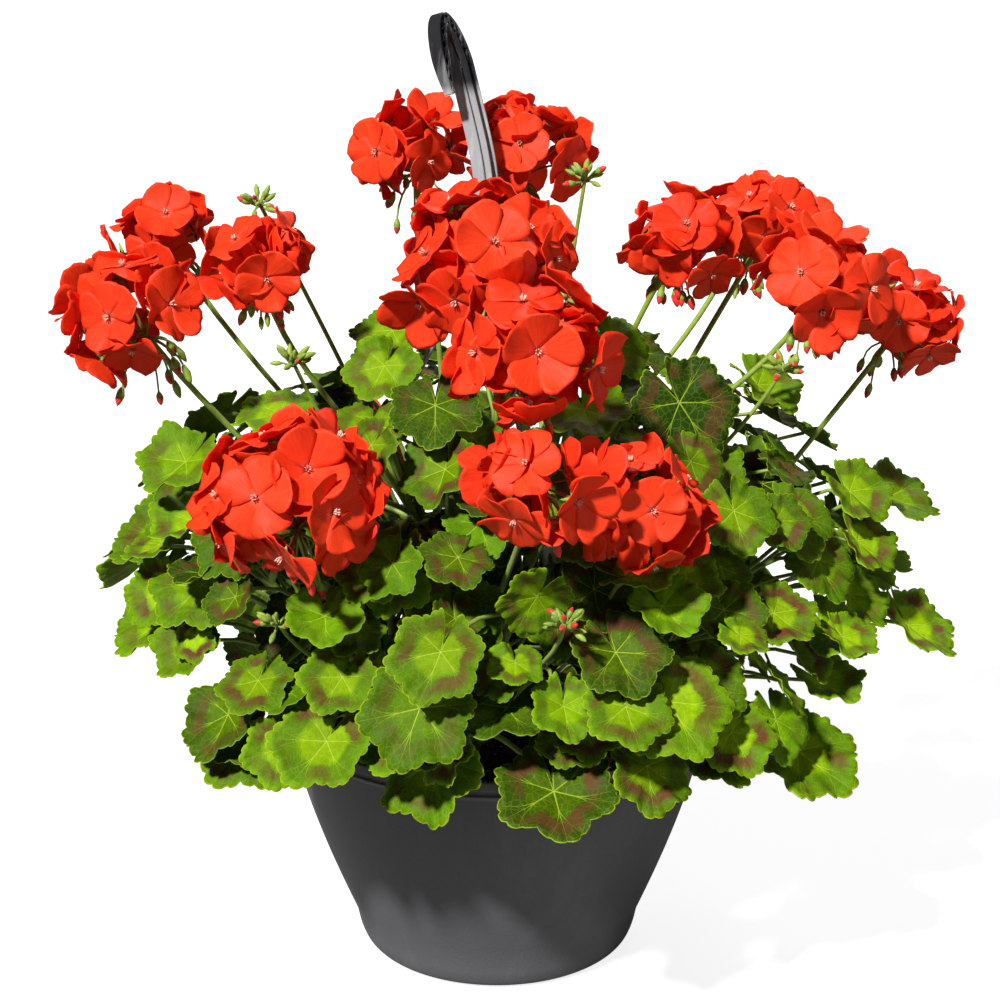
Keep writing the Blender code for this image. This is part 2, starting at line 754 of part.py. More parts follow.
def fused(name, shapes, material):
    """One solid from many overlapping ones: a Boolean union on a collection, applied."""
    made = new_object(name, outward(shapes[0]), material)
    group = bpy.data.collections.new(name + "_pieces")
    bpy.context.scene.collection.children.link(group)
    pieces = []
    for shape in shapes[1:]:
        piece = new_object(name + "_piece", outward(shape), material)
        bpy.context.collection.objects.unlink(piece)
        group.objects.link(piece)
        pieces.append(piece)
    union = made.modifiers.new("Union", "BOOLEAN")
    union.operation = "UNION"
    union.operand_type = "COLLECTION"
    union.solver = "MANIFOLD"
    union.collection = group
    graph = bpy.context.evaluated_depsgraph_get()
    graph.update()
    joined = bpy.data.meshes.new_from_object(made.evaluated_get(graph))
    made.modifiers.clear()
    old = made.data
    made.data = joined
    bpy.data.meshes.remove(old)
    joined.name = name
    for piece in pieces:
        bpy.data.objects.remove(piece)
    bpy.data.collections.remove(group)
    keep_body(made.data)
    shade(made)
    return made


def cut(made, cutters, name):
    """Takes a collection of helper solids out of an object."""
    group = bpy.data.collections.new(name)
    bpy.context.scene.collection.children.link(group)
    for number, shape in enumerate(cutters):
        helper = new_object("%s_%d" % (name, number), outward(shape))
        bpy.context.collection.objects.unlink(helper)
        group.objects.link(helper)
        helper.hide_render = True
        helper.display_type = "WIRE"
    bore = made.modifiers.new(name, "BOOLEAN")
    bore.operation = "DIFFERENCE"
    bore.operand_type = "COLLECTION"
    bore.collection = group


# The made things
def inside_profile():
    """(radius, height) up the pot's inside, from its floor to its lip."""
    wall = bezier((FOOT_CORNER, WALL_BULGE, WALL_TOP), 2)
    profile = [(FOOT_RADIUS, FLOOR)] + [(p[0] - WALL, p[1]) for p in wall]
    return profile + [(0.1215, 0.1425), (0.1222, POT_HEIGHT - 0.0012)]


def make_pot(material):
    wall = bezier((WALL_TOP, WALL_BULGE, FOOT_CORNER), 3)
    outside = [(0.1236, POT_HEIGHT), (RIM_RADIUS - 0.0006, POT_HEIGHT - 0.0004),
               (RIM_RADIUS, 0.1460), (0.1258, 0.1446), (0.1266, 0.1425), (0.1258, 0.1400)]
    outside += [tuple(p) for p in wall]
    outside += [(0.0822, 0.0095), (0.0795, 0.0028), (FOOT_RADIUS, 0.0), (0, 0.0)]
    profile = [(0, FLOOR)] + inside_profile() + outside
    pot = new_object("pot", outward(turned(profile, POT_SIDES)), material)
    holes = []
    for k in range(DRAIN_HOLES):
        place = polar(360 * k / DRAIN_HOLES, DRAIN_CIRCLE)
        ends = [place - [0, 0, FLOOR], place + [0, 0, 2 * FLOOR]]
        holes.append(tube(ends, [DRAIN_RADIUS] * 2, 6))
    cut(pot, holes, "drain_cutters")
    shade(pot)
    return pot


def make_soil(material, stems):
    inside = inside_profile()
    low, high = [[p for p in inside if (p[1] < SOIL_TOP) == under] for under in (True, False)]
    share = (SOIL_TOP - low[-1][1]) / (high[0][1] - low[-1][1])
    edge = low[-1][0] + (high[0][0] - low[-1][0]) * share
    wall = [(r - SEAT_GAP * 1.5, max(z, FLOOR + SEAT_GAP)) for r, z in low + [(edge, SOIL_TOP)]]
    profile = [(0, SOIL_TOP + SOIL_CROWN)] + wall[::-1] + [(0, FLOOR + SEAT_GAP)]
    soil = new_object("soil", outward(turned(profile, POT_SIDES)), material)
    holes = []
    for path in stems:
        foot = path[0] - [0, 0, 0.004]
        mouth = path[1] + [0, 0, 0.008]
        holes.append(tube([foot, mouth], [STEM_RADIUS + HOLE_PLAY] * 2, 6))
    cut(soil, holes, "stem_holes")
    shade(soil)
    return soil


def t_section(point, side, out, width, depth):
    """The strap, with the rib that stiffens it on its inner side."""
    half, rib = width / 2, RIB_WIDTH / 2
    outline = ((-half, STRAP_THICK), (half, STRAP_THICK), (half, 0), (rib, 0),
               (rib, -depth), (-rib, -depth), (-rib, 0), (-half, 0))
    return [point + side * x + out * y for x, y in outline]


def hook_path(toward, up):
    """Up the leaning shank, over the top towards the front, and back in to the tip."""
    top = np.array(SHANK_TOP)
    split = np.array(SPLIT)
    path = [split - [0, 0, 0.006], split + [0, 0, 0.010], np.array(SHANK_MIDDLE)]
    middle = top + toward * HOOK_REACH
    for k in range(HOOK_STEPS + 1):
        turn = math.radians(180 - HOOK_SWEEP * k / HOOK_STEPS)
        path.append(middle + HOOK_REACH * math.cos(turn) * toward + HOOK_RISE * math.sin(turn) * up)
    return np.array(path)


def make_hanger(material):
    toward = polar(HOOK_AZIMUTH)
    tilt = math.radians(HOOK_TILT)
    up = math.cos(tilt) * np.array([0, 0, 1]) - math.sin(tilt) * polar(HOOK_AZIMUTH + 90)
    path = hook_path(toward, up)
    shares = np.linspace(0, 1, HOOK_STEPS + 1)
    narrowing = (STRAP_WIDTH, HOOK_WIDTH, HOOK_WIDTH, TIP_WIDTH)
    widths = [STRAP_WIDTH] * 3 + list(np.interp(shares, (0, 0.3, 0.8, 1), narrowing))
    depths = [RIB_DEPTH] * 3 + list(np.interp(shares, (0, 0.8, 1), (RIB_DEPTH, RIB_DEPTH, TIP_RIB_DEPTH)))
    sections = []
    for point, width, depth, frame in zip(path, widths, depths, frames_along(path, np.cross(toward, up))):
        sections.append(t_section(point, frame[1], np.cross(frame[1], frame[0]), width, depth))
    shapes = [swept(path, sections)]
    for azimuth in ARM_AZIMUTHS:
        route = arm_path(azimuth)
        rings = []
        for point, (_, wide, up) in zip(route, frames_along(route, polar(azimuth + 90))):
            half, thick = wide * ARM_WIDTH / 2, up * ARM_THICK / 2
            corners = (-half - thick, half - thick, half + thick, -half + thick)
            rings.append([point + corner for corner in corners])
        shapes += [swept(route, rings), clip_shape(azimuth)]
    return fused("hanger", shapes, material)


def clip_shape(azimuth):
    """An upturned U that sits over the lip."""
    inner, outer = CLIP_INSIDE, RIM_RADIUS + CLIP_PLAY
    low, top = CLIP_FOOT, POT_HEIGHT + SEAT_GAP
    outline = [(inner - CLIP_WALL, low), (inner, low), (inner, top), (outer, top), (outer, low),
               (outer + CLIP_WALL, low), (outer + CLIP_WALL, top + CLIP_WALL),
               (inner - CLIP_WALL, top + CLIP_WALL)]
    across = polar(azimuth + 90)
    sections = []
    for side in (-0.5, 0.5):
        sections.append([polar(azimuth, r, z) + across * side * CLIP_WIDTH for r, z in outline])
    return swept([0, 1], sections)


def main():
    clear_scene()
    pot_finish = new_material("pot_plastic", GREY, 0.55)
    soil_finish = new_material("potting_soil", BROWN, 0.95)
    hanger_finish = new_material("hanger_plastic", BLACK, 0.3)
    green = new_material("leaf_green", GREEN, 0.45)
    red = new_material("petal_red", RED, 0.5)
    stems, heads, stalks, buds, leaves = make_plan()
    make_pot(pot_finish)
    make_soil(soil_finish, stems)
    make_hanger(hanger_finish)
    for k, path in enumerate(stems):
        node = "stem_%02d" % (k + 1)
        shapes = [tube(path, STEM_RADIUS * np.array([1, 1, 0.9, 0.7]), 4)]
        for leaf in leaves:
            if leaf["node"] == node:
                shapes.append(leaf_shape(leaf))
        for stalk in stalks:
            if stalk["node"] == node:
                radii = np.linspace(STALK_RADIUS, STALK_RADIUS * 0.85, len(stalk["path"]))
                shapes.append(tube(stalk["path"], radii, 3, stalk["end"]))
        for cluster in buds:
            if cluster["node"] == node:
                shapes += bud_shapes(cluster)
        fused(node, shapes, green)
    for head in heads:
        shapes = [core_shape(head)] + [floret_shape(f, head) for f in head["florets"]]
        fused(head["node"], shapes, red)
    florets = sum(len(head["florets"]) for head in heads)
    print(len(leaves), "leaves", florets, "florets", len(buds), "bud clusters")


main()
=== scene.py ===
import math
from functools import partial

import bmesh
import bpy
import numpy as np
from mathutils import Matrix, Vector


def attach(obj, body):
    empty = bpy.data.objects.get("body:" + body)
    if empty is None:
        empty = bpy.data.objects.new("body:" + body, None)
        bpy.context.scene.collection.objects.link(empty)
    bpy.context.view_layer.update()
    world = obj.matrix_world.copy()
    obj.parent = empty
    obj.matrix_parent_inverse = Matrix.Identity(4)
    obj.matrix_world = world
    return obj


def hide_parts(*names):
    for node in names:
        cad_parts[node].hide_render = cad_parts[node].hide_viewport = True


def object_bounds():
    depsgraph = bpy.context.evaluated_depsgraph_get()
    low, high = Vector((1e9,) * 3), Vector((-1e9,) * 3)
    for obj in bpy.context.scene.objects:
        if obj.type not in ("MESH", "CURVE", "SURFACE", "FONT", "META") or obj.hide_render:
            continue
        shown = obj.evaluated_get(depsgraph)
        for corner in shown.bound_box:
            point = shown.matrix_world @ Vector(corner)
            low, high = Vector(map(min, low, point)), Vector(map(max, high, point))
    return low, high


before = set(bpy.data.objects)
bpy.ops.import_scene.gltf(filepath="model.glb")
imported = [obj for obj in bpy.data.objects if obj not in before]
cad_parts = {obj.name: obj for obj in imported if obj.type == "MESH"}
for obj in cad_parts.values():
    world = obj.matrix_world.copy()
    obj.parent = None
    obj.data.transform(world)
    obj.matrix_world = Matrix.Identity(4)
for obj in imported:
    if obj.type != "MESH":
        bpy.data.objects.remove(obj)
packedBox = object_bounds()
scene = bpy.context.scene
spares = []  # kinds and line sheets that are only used while building
goldenAngle = 137.5


def paint(red, green, blue):
    # sRGB 0 to 255 as the linear values that the shader takes
    return tuple(((v / 255 + 0.055) / 1.055) ** 2.4 if v > 10 else v / 3294.6 for v in (red, green, blue))


# Camera and studio
cameraView = {"place": (0.0017, -1.35, 0.718), "pitch": 71.6, "lens": 90, "sensor": 36}
cameraData = bpy.data.cameras.new("camera")
camera = bpy.data.objects.new("camera", cameraData)
scene.collection.objects.link(camera)
camera.location = cameraView["place"]
camera.rotation_euler = (math.radians(cameraView["pitch"]), 0, 0)
cameraData.lens = cameraView["lens"]
cameraData.sensor_width = cameraView["sensor"]
cameraData.clip_start = 0.05
scene.camera = camera
scene.view_settings.view_transform = "Standard"

studio = {
    "key": ("SUN", (-0.75, -1.25, 1.75), 4, 5.7),  # kind, place, width (degrees for the sun), power
    "side": ("AREA", (1.9, -1.5, 1.2), 1.0, 8),
    "back": ("AREA", (0.5, 1.9, 1.9), 1.2, 24),
    "aim": (0, 0, 0.28), "worldLight": 0.035, "floorTone": 0.35, "floorGlow": 0.84, "floorBounce": 0.25,
}


def setLight(name, kind, place, width, power):
    data = bpy.data.lights.new(name, kind)
    if kind == "SUN":
        data.angle = math.radians(width)
    else:
        data.shape = "DISK"
        data.size = width
    data.energy = power
    light = bpy.data.objects.new(name, data)
    scene.collection.objects.link(light)
    light.location = place
    toward = Vector(studio["aim"]) - Vector(place)
    light.rotation_euler = toward.to_track_quat("-Z", "Y").to_euler()


for lamp in ("key", "side", "back"):
    setLight(lamp + "Light", *studio[lamp])


# Shader helpers
def put(tree, kind, inputs=None, **settings):
    node = tree.nodes.new(kind)
    for key, value in settings.items():
        setattr(node, key, value)
    for key, value in (inputs or {}).items():
        if isinstance(value, bpy.types.NodeSocket):
            tree.links.new(value, node.inputs[key])
        else:
            node.inputs[key].default_value = value
    return node


def calc(tree, operation, *values):
    node = put(tree, "ShaderNodeMath", dict(enumerate(values)), operation=operation)
    return node.outputs[0]


def between(tree, value, low, high, start=0.0, end=1.0):
    inputs = {"Value": value, "From Min": low, "From Max": high, "To Min": start, "To Max": end}
    return put(tree, "ShaderNodeMapRange", inputs, interpolation_type="SMOOTHSTEP").outputs[0]


def mixed(tree, share, first, second, blend="MIX"):
    first, second = [(*v, 1) if isinstance(v, tuple) and len(v) == 3 else v for v in (first, second)]
    inputs = {0: share, 6: first, 7: second}
    return put(tree, "ShaderNodeMix", inputs, data_type="RGBA", blend_type=blend).outputs[2]


def noise(tree, vector, scale, detail=3.0, roughness=0.55):
    inputs = {"Vector": vector, "Scale": scale, "Detail": detail, "Roughness": roughness}
    return put(tree, "ShaderNodeTexNoise", inputs).outputs[0]


def trait(tree, name):
    # A number that each leaf, petal or stalk carries over its whole surface
    return put(tree, "ShaderNodeAttribute", attribute_name=name).outputs["Fac"]


def newGroup(name, inputs, outputs):
    group = bpy.data.node_groups.new(name, "ShaderNodeTree")
    for label, kind, value in inputs:
        socket = group.interface.new_socket(name=label, in_out="INPUT", socket_type="NodeSocket" + kind)
        if value is not None:
            socket.default_value = value
    for label, kind in outputs:
        group.interface.new_socket(name=label, in_out="OUTPUT", socket_type="NodeSocket" + kind)
    entry = group.nodes.new("NodeGroupInput")
    leave = group.nodes.new("NodeGroupOutput")
    return group, entry.outputs, leave.inputs


def useGroup(tree, group, inputs):
    return put(tree, "ShaderNodeGroup", inputs, node_tree=group).outputs


def newMaterial(name, roughness):
    material = bpy.data.materials.new(name)
    material.use_nodes = True
    tree = material.node_tree
    shader = tree.nodes["Principled BSDF"]
    shader.inputs["Roughness"].default_value = roughness
    return material, tree, shader


def bumped(tree, shader, height, strength, distance):
    inputs = {"Height": height, "Strength": strength, "Distance": distance}
    tree.links.new(put(tree, "ShaderNodeBump", inputs).outputs[0], shader.inputs["Normal"])


def letThrough(tree, shader, colour, share):
    # Light that shines through a thin blade
    glow = put(tree, "ShaderNodeBsdfTranslucent", {"Color": colour})
    both = put(tree, "ShaderNodeMixShader", {0: share, 1: shader.outputs[0], 2: glow.outputs[0]})
    tree.links.new(both.outputs[0], tree.nodes["Material Output"].inputs["Surface"])


def makeMottle():
    # Soft patches over fine ones, from 0 to 1
    group, entry, leave = newGroup("softMottle", [("Vector", "Vector", None), ("Broad", "Float", 20.0),
                                                  ("Fine", "Float", 120.0)], [("Value", "Float")])
    broad = noise(group, entry["Vector"], entry["Broad"], 3.0)
    fine = noise(group, entry["Vector"], entry["Fine"], 4.0)
    both = calc(group, "MULTIPLY_ADD", fine, 0.4, calc(group, "MULTIPLY", broad, 0.6))
    group.links.new(between(group, both, 0.32, 0.68), leave["Value"])
    return group


def makeGrain():
    # Moulded grain with light streaks, for the pot and its hanger: scuffs on the pot, scuffs and painted
    # highlights on the hanger
    group, entry, leave = newGroup("mouldedGrain", [("Vector", "Vector", None), ("Grain", "Float", 900.0),
                                                    ("StreakScale", "Float", 30.0)],
                                   [("Height", "Float"), ("ScuffsAndHighlights", "Float")])
    cells = put(group, "ShaderNodeTexVoronoi", {"Vector": entry["Vector"], "Scale": entry["Grain"]})
    small = noise(group, entry["Vector"], entry["Grain"], 2.0)
    height = calc(group, "MULTIPLY_ADD", cells.outputs["Distance"], 0.7, small)
    stretch = put(group, "ShaderNodeMapping", {"Vector": entry["Vector"], "Scale": (1.0, 1.0, 0.16)})
    streaks = noise(group, stretch.outputs[0], entry["StreakScale"], 6.0, 0.7)
    group.links.new(height, leave["Height"])
    group.links.new(between(group, streaks, 0.48, 0.74), leave["ScuffsAndHighlights"])
    return group


mottle = makeMottle()
grain = makeGrain()


def leafMaterial():
    # Zoned leaf: lime middle, brown horseshoe, bright margin, pale veins and edge
    look = {"middle": paint(154, 190, 0), "margin": paint(98, 146, 0), "dark": paint(18, 50, 0),
            "zone": paint(98, 54, 34), "vein": paint(186, 208, 56), "edge": paint(178, 198, 44),
            "under": paint(124, 160, 44), "glow": paint(150, 200, 0)}
    material, tree, shader = newMaterial("leafBlade", 0.58)
    work, ramp, mix = [partial(made, tree) for made in (calc, between, mixed)]
    uv = put(tree, "ShaderNodeUVMap", uv_map="UVMap").outputs[0]
    shifted = put(tree, "ShaderNodeVectorMath", {0: uv, 1: (0.5, 0.5, 0.0)}, operation="SUBTRACT").outputs[0]
    parts = put(tree, "ShaderNodeSeparateXYZ", {0: shifted}).outputs
    length = put(tree, "ShaderNodeVectorMath", {0: shifted}, operation="LENGTH").outputs["Value"]
    share = work("MULTIPLY", length, 2.0)
    turn = work("ARCTAN2", parts[0], parts[1])
    tint = trait(tree, "tint")
    zoned = trait(tree, "zoned")
    place = put(tree, "ShaderNodeCombineXYZ",
                {0: parts[0], 1: parts[1], 2: work("MULTIPLY", tint, 40.0)}).outputs[0]
    # Main veins run to the lobes, one for each radian, and fork on the way
    local = work("PINGPONG", turn, 0.5)
    away = work("MULTIPLY", local, share)
    width = ramp(share, 0.0, 1.0, 0.017, 0.006)
    mainVein = ramp(work("DIVIDE", away, width), 0.3, 1.0, 1.0, 0.0)
    spread = work("MULTIPLY", work("MAXIMUM", work("SUBTRACT", share, 0.34), 0.0), 0.42)
    forkAway = work("MULTIPLY", work("ABSOLUTE", work("SUBTRACT", local, spread)), share)
    fork = ramp(work("DIVIDE", forkAway, width), 0.2, 0.9, 1.0, 0.0)
    spread2 = work("MULTIPLY", work("MAXIMUM", work("SUBTRACT", share, 0.55), 0.0), 0.95)
    fork2Away = work("MULTIPLY", work("ABSOLUTE", work("SUBTRACT", local, spread2)), share)
    fork2 = ramp(work("DIVIDE", fork2Away, width), 0.1, 0.7, 0.7, 0.0)
    vein = work("MAXIMUM", mainVein, work("MAXIMUM", fork, fork2))
    net = put(tree, "ShaderNodeTexVoronoi", {"Vector": place, "Scale": 17.0}, feature="DISTANCE_TO_EDGE")
    netLine = ramp(net.outputs["Distance"], 0.0, 0.10, 1.0, 0.0)
    # The horseshoe has a crisp inner edge and runs out in streaks
    patches = useGroup(tree, mottle, {"Vector": place, "Broad": 5.0, "Fine": 22.0})["Value"]
    streakSpot = put(tree, "ShaderNodeCombineXYZ",
                     {0: work("MULTIPLY", turn, 3.2), 1: share, 2: work("MULTIPLY", tint, 9.0)}).outputs[0]
    streak = noise(tree, streakSpot, 3.5, 3.0)
    wobble = work("MULTIPLY_ADD", streak, 0.30, -0.15)
    betweenVeins = work("MULTIPLY", local, 0.20)
    inner = ramp(work("MULTIPLY_ADD", wobble, 0.5, work("ADD", share, betweenVeins)), 0.56, 0.61)
    outer = ramp(work("ADD", wobble, share), 0.70, 0.94, 1.0, 0.0)
    sectorSpot = put(tree, "ShaderNodeCombineXYZ",
                     {0: parts[0], 1: parts[1], 2: work("MULTIPLY", tint, 23.0)})
    sector = ramp(noise(tree, sectorSpot.outputs[0], 2.6, 1.0), 0.38, 0.58, 0.15, 1.0)
    band = work("MULTIPLY", work("MULTIPLY", inner, outer), work("MULTIPLY", zoned, sector))
    band = work("MULTIPLY", band, work("MULTIPLY_ADD", patches, 0.35, 0.72))
    limeEdge = work("MAXIMUM", ramp(share, 0.58, 0.40), ramp(share, 0.84, 1.0, 0.0, 0.55))
    green = mix(work("MULTIPLY", limeEdge, zoned), look["margin"], look["middle"])
    green = mix(work("MULTIPLY", patches, 0.35), green, look["dark"])
    # Painted shade: this number darkens leaves deep inside the mound towards near-black green, on top of each
    # leaf's random tone
    green = mix(ramp(tint, 0.0, 1.0, 0.0, 0.95), green, look["dark"])
    green = mix(work("MULTIPLY", netLine, 0.10), green, look["vein"])
    veinShare = work("MULTIPLY", vein, ramp(share, 0.0, 0.95, 0.60, 0.20))
    withZone = mix(band, green, look["zone"])
    veined = mix(work("MULTIPLY", veinShare, work("MULTIPLY_ADD", band, -0.65, 1.0)), withZone, look["vein"])
    edged = mix(ramp(share, 0.97, 0.995, 0.0, 0.6), veined, look["edge"])
    under = put(tree, "ShaderNodeAttribute", attribute_name="under").outputs["Fac"]
    pale = mix(work("MULTIPLY", under, 0.5), edged, look["under"])
    tree.links.new(pale, shader.inputs["Base Color"])
    shader.inputs["Specular IOR Level"].default_value = 0.12
    relief = work("ADD", work("MULTIPLY", vein, -0.8), work("MULTIPLY", netLine, -0.35))
    fuzz = noise(tree, place, 90.0, 2.0)
    bumped(tree, shader, work("MULTIPLY_ADD", fuzz, 0.35, relief), 0.55, 0.0006)
    letThrough(tree, shader, mix(0.55, pale, look["glow"]), 0.12)
    return material


def petalMaterial():
    look = {"red": paint(255, 78, 36), "deep": paint(222, 16, 8), "throat": paint(255, 170, 150),
            "glow": paint(255, 62, 16)}
    material, tree, shader = newMaterial("petalSkin", 0.5)
    work, ramp, mix = [partial(made, tree) for made in (calc, between, mixed)]
    uv = put(tree, "ShaderNodeUVMap", uv_map="UVMap").outputs[0]
    parts = put(tree, "ShaderNodeSeparateXYZ", {0: uv}).outputs
    tint = trait(tree, "tint")
    across = work("SUBTRACT", parts[0], 0.5)
    fan = work("DIVIDE", across, work("ADD", parts[1], 0.12))
    run = {0: work("MULTIPLY", fan, 7.0), 1: work("MULTIPLY", parts[1], 0.6), 2: work("MULTIPLY", tint, 30.0)}
    spot = put(tree, "ShaderNodeCombineXYZ", run).outputs[0]
    veins = noise(tree, spot, 4.5, 3.0, 0.6)
    veinLine = ramp(veins, 0.42, 0.62)
    cloud = useGroup(tree, mottle, {"Vector": spot, "Broad": 1.2, "Fine": 9.0})["Value"]
    red = mix(work("MULTIPLY", veinLine, 0.30), look["red"], look["deep"])
    red = mix(work("MULTIPLY", cloud, 0.22), red, look["deep"])
    # For florets this number is only a random tone towards deep red, with no painted shade
    red = mix(ramp(tint, 0.0, 1.0, 0.0, 0.4), red, look["deep"])
    throat = work("MULTIPLY", ramp(parts[1], 0.08, 0.24, 1.0, 0.0), ramp(veins, 0.5, 0.56))
    red = mix(work("MULTIPLY", throat, 0.5), red, look["throat"])
    tree.links.new(red, shader.inputs["Base Color"])
    shader.inputs["Specular IOR Level"].default_value = 0.18
    bumped(tree, shader, veins, 0.4, 0.0005)
    letThrough(tree, shader, mix(0.5, red, look["glow"]), 0.28)
    return material


def stalkMaterial():
    # Stems, stalks, buds and sepals: the blush runs from green to red-brown
    look = {"green": paint(150, 176, 52), "olive": paint(98, 130, 34), "blush": paint(150, 66, 34),
            "red": paint(226, 40, 22), "wood": paint(96, 98, 44), "pale": paint(255, 196, 170)}
    material, tree, shader = newMaterial("stalkSkin", 0.5)
    work, ramp, mix = [partial(made, tree) for made in (calc, between, mixed)]
    place = put(tree, "ShaderNodeTexCoord").outputs["Object"]
    patches = useGroup(tree, mottle, {"Vector": place, "Broad": 60.0, "Fine": 500.0})["Value"]
    blush = trait(tree, "blush")
    tone = trait(tree, "tone")
    green = mix(work("MULTIPLY", patches, 0.6), look["green"], look["olive"])
    green = mix(tone, green, look["wood"])
    warm = mix(ramp(blush, 0.15, 0.6), green, look["blush"])
    hot = mix(ramp(blush, 0.6, 0.95), warm, look["red"])
    hot = mix(ramp(blush, 1.2, 1.6), hot, look["pale"])
    tree.links.new(hot, shader.inputs["Base Color"])
    shader.inputs["Sheen Weight"].default_value = 0.2
    bumped(tree, shader, patches, 0.35, 0.0004)
    letThrough(tree, shader, hot, 0.10)
    return material


def potMaterial():
    look = {"grey": paint(88, 88, 90), "worn": paint(136, 136, 138)}
    material, tree, shader = newMaterial("potPlastic", 0.5)
    work, ramp, mix = [partial(made, tree) for made in (calc, between, mixed)]
    place = put(tree, "ShaderNodeTexCoord").outputs["Object"]
    worn = useGroup(tree, grain, {"Vector": place, "Grain": 620.0, "StreakScale": 26.0})
    tree.links.new(mix(work("MULTIPLY", worn["ScuffsAndHighlights"], 0.22), look["grey"], look["worn"]),
                   shader.inputs["Base Color"])
    tree.links.new(ramp(worn["ScuffsAndHighlights"], 0.0, 1.0, 0.46, 0.60), shader.inputs["Roughness"])
    shader.inputs["Specular IOR Level"].default_value = 0.4
    bumped(tree, shader, worn["Height"], 0.30, 0.0004)
    return material


def hangerMaterial():
    # Glossy black at the hook, scuffed grey down the shank and arms, with painted highlights as light streaks
    # on the black hook
    look = {"black": paint(38, 38, 40), "grey": paint(158, 159, 161), "scuffAndHighlight": paint(236, 237, 239)}
    material, tree, shader = newMaterial("hangerPlastic", 0.3)
    work, ramp, mix = [partial(made, tree) for made in (calc, between, mixed)]
    place = put(tree, "ShaderNodeTexCoord").outputs["Object"]
    height = put(tree, "ShaderNodeSeparateXYZ", {0: place}).outputs[2]
    worn = useGroup(tree, grain, {"Vector": place, "Grain": 420.0, "StreakScale": 70.0})
    rubbed = ramp(height, 0.497, 0.507, 1.0, 0.0)
    base = mix(rubbed, look["black"], look["grey"])
    # Light streaks: scuffs on the grey shank and arms, and painted highlights on the glossy black hook
    base = mix(work("MULTIPLY", worn["ScuffsAndHighlights"], work("MULTIPLY_ADD", rubbed, 0.65, 0.25)), base,
               look["scuffAndHighlight"])
    tree.links.new(base, shader.inputs["Base Color"])
    tree.links.new(ramp(rubbed, 0.0, 1.0, 0.22, 0.5), shader.inputs["Roughness"])
    bumped(tree, shader, worn["Height"], 0.18, 0.0003)
    return material


def soilMaterial(name, dark, light, scale):
    material, tree, shader = newMaterial(name, 0.95)
    mix = partial(mixed, tree)
    place = put(tree, "ShaderNodeTexCoord").outputs["Object"]
    patches = useGroup(tree, mottle, {"Vector": place, "Broad": scale, "Fine": scale * 5})["Value"]
    tree.links.new(mix(patches, dark, light), shader.inputs["Base Color"])
    bumped(tree, shader, patches, 0.8, 0.002)
    return material


leafBlade = leafMaterial()
petalSkin = petalMaterial()
stalkSkin = stalkMaterial()
potPlastic = potMaterial()
hangerPlastic = hangerMaterial()
pottingMix = soilMaterial("pottingMix", paint(34, 24, 17), paint(72, 54, 38), 140.0)
barkCrumb = soilMaterial("barkCrumb", paint(44, 30, 20), paint(104, 76, 50), 300.0)
perliteCrumb = soilMaterial("perliteCrumb", paint(196, 192, 182), paint(232, 230, 224), 400.0)
print("materials ready")


# Shape helpers
def unit(vector):
    vector = np.asarray(vector, float)
    return vector / np.linalg.norm(vector)


def polar(azimuth, radius=1.0, height=0.0):
    angle = math.radians(azimuth)
    return np.array([radius * math.cos(angle), radius * math.sin(angle), height])


def bezier(controls, steps):
    points = []
    for t in np.linspace(0, 1, steps + 1):
        level = [np.asarray(c, float) for c in controls]
        while len(level) > 1:
            level = [a + (b - a) * t for a, b in zip(level[:-1], level[1:])]
        points.append(level[0])
    return np.array(points)


def newMesh(name, points, faces, edges=()):
    mesh = bpy.data.meshes.new(name)
    mesh.from_pydata([tuple(map(float, p)) for p in points], list(edges), faces)
    mesh.update()
    return mesh


def facesOut(mesh):
    work = bmesh.new()
    work.from_mesh(mesh)
    bmesh.ops.recalc_face_normals(work, faces=work.faces)
    work.to_mesh(mesh)
    work.free()
    return mesh


def takeMesh(holder):
    # The mesh that the modifiers make, without its object
    graph = bpy.context.evaluated_depsgraph_get()
    graph.update()
    made = bpy.data.meshes.new_from_object(holder.evaluated_get(graph))
    holder.modifiers.clear()
    bpy.data.objects.remove(holder)
    return made


def newTree(name, sockets):
    tree = bpy.data.node_groups.new(name, "GeometryNodeTree")
    for label, kind, value in (("Geometry", "Geometry", None), *sockets, ("Material", "Material", None)):
        socket = tree.interface.new_socket(name=label, in_out="INPUT", socket_type="NodeSocket" + kind)
        if value:
            socket.default_value = value
    tree.interface.new_socket(name="Geometry", in_out="OUTPUT", socket_type="NodeSocketGeometry")
    return tree, tree.nodes.new("NodeGroupInput").outputs, tree.nodes.new("NodeGroupOutput").inputs


def runTree(name, mesh, tree, inputs):
    holder = bpy.data.objects.new(name, mesh)
    scene.collection.objects.link(holder)
    step = holder.modifiers.new("Grow", "NODES")
    step.node_group = tree
    for item in tree.interface.items_tree:
        if item.in_out == "INPUT" and item.name in inputs:
            step[item.identifier] = inputs[item.name]
    return takeMesh(holder)


def newPiece(name, mesh, slot, *nodes, material=None):
    piece = bpy.data.objects.new(name, mesh)
    scene.collection.objects.link(piece)
    if material:
        mesh.materials.append(material)
    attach(piece, "root")
    if nodes:
        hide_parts(*nodes)
    return piece


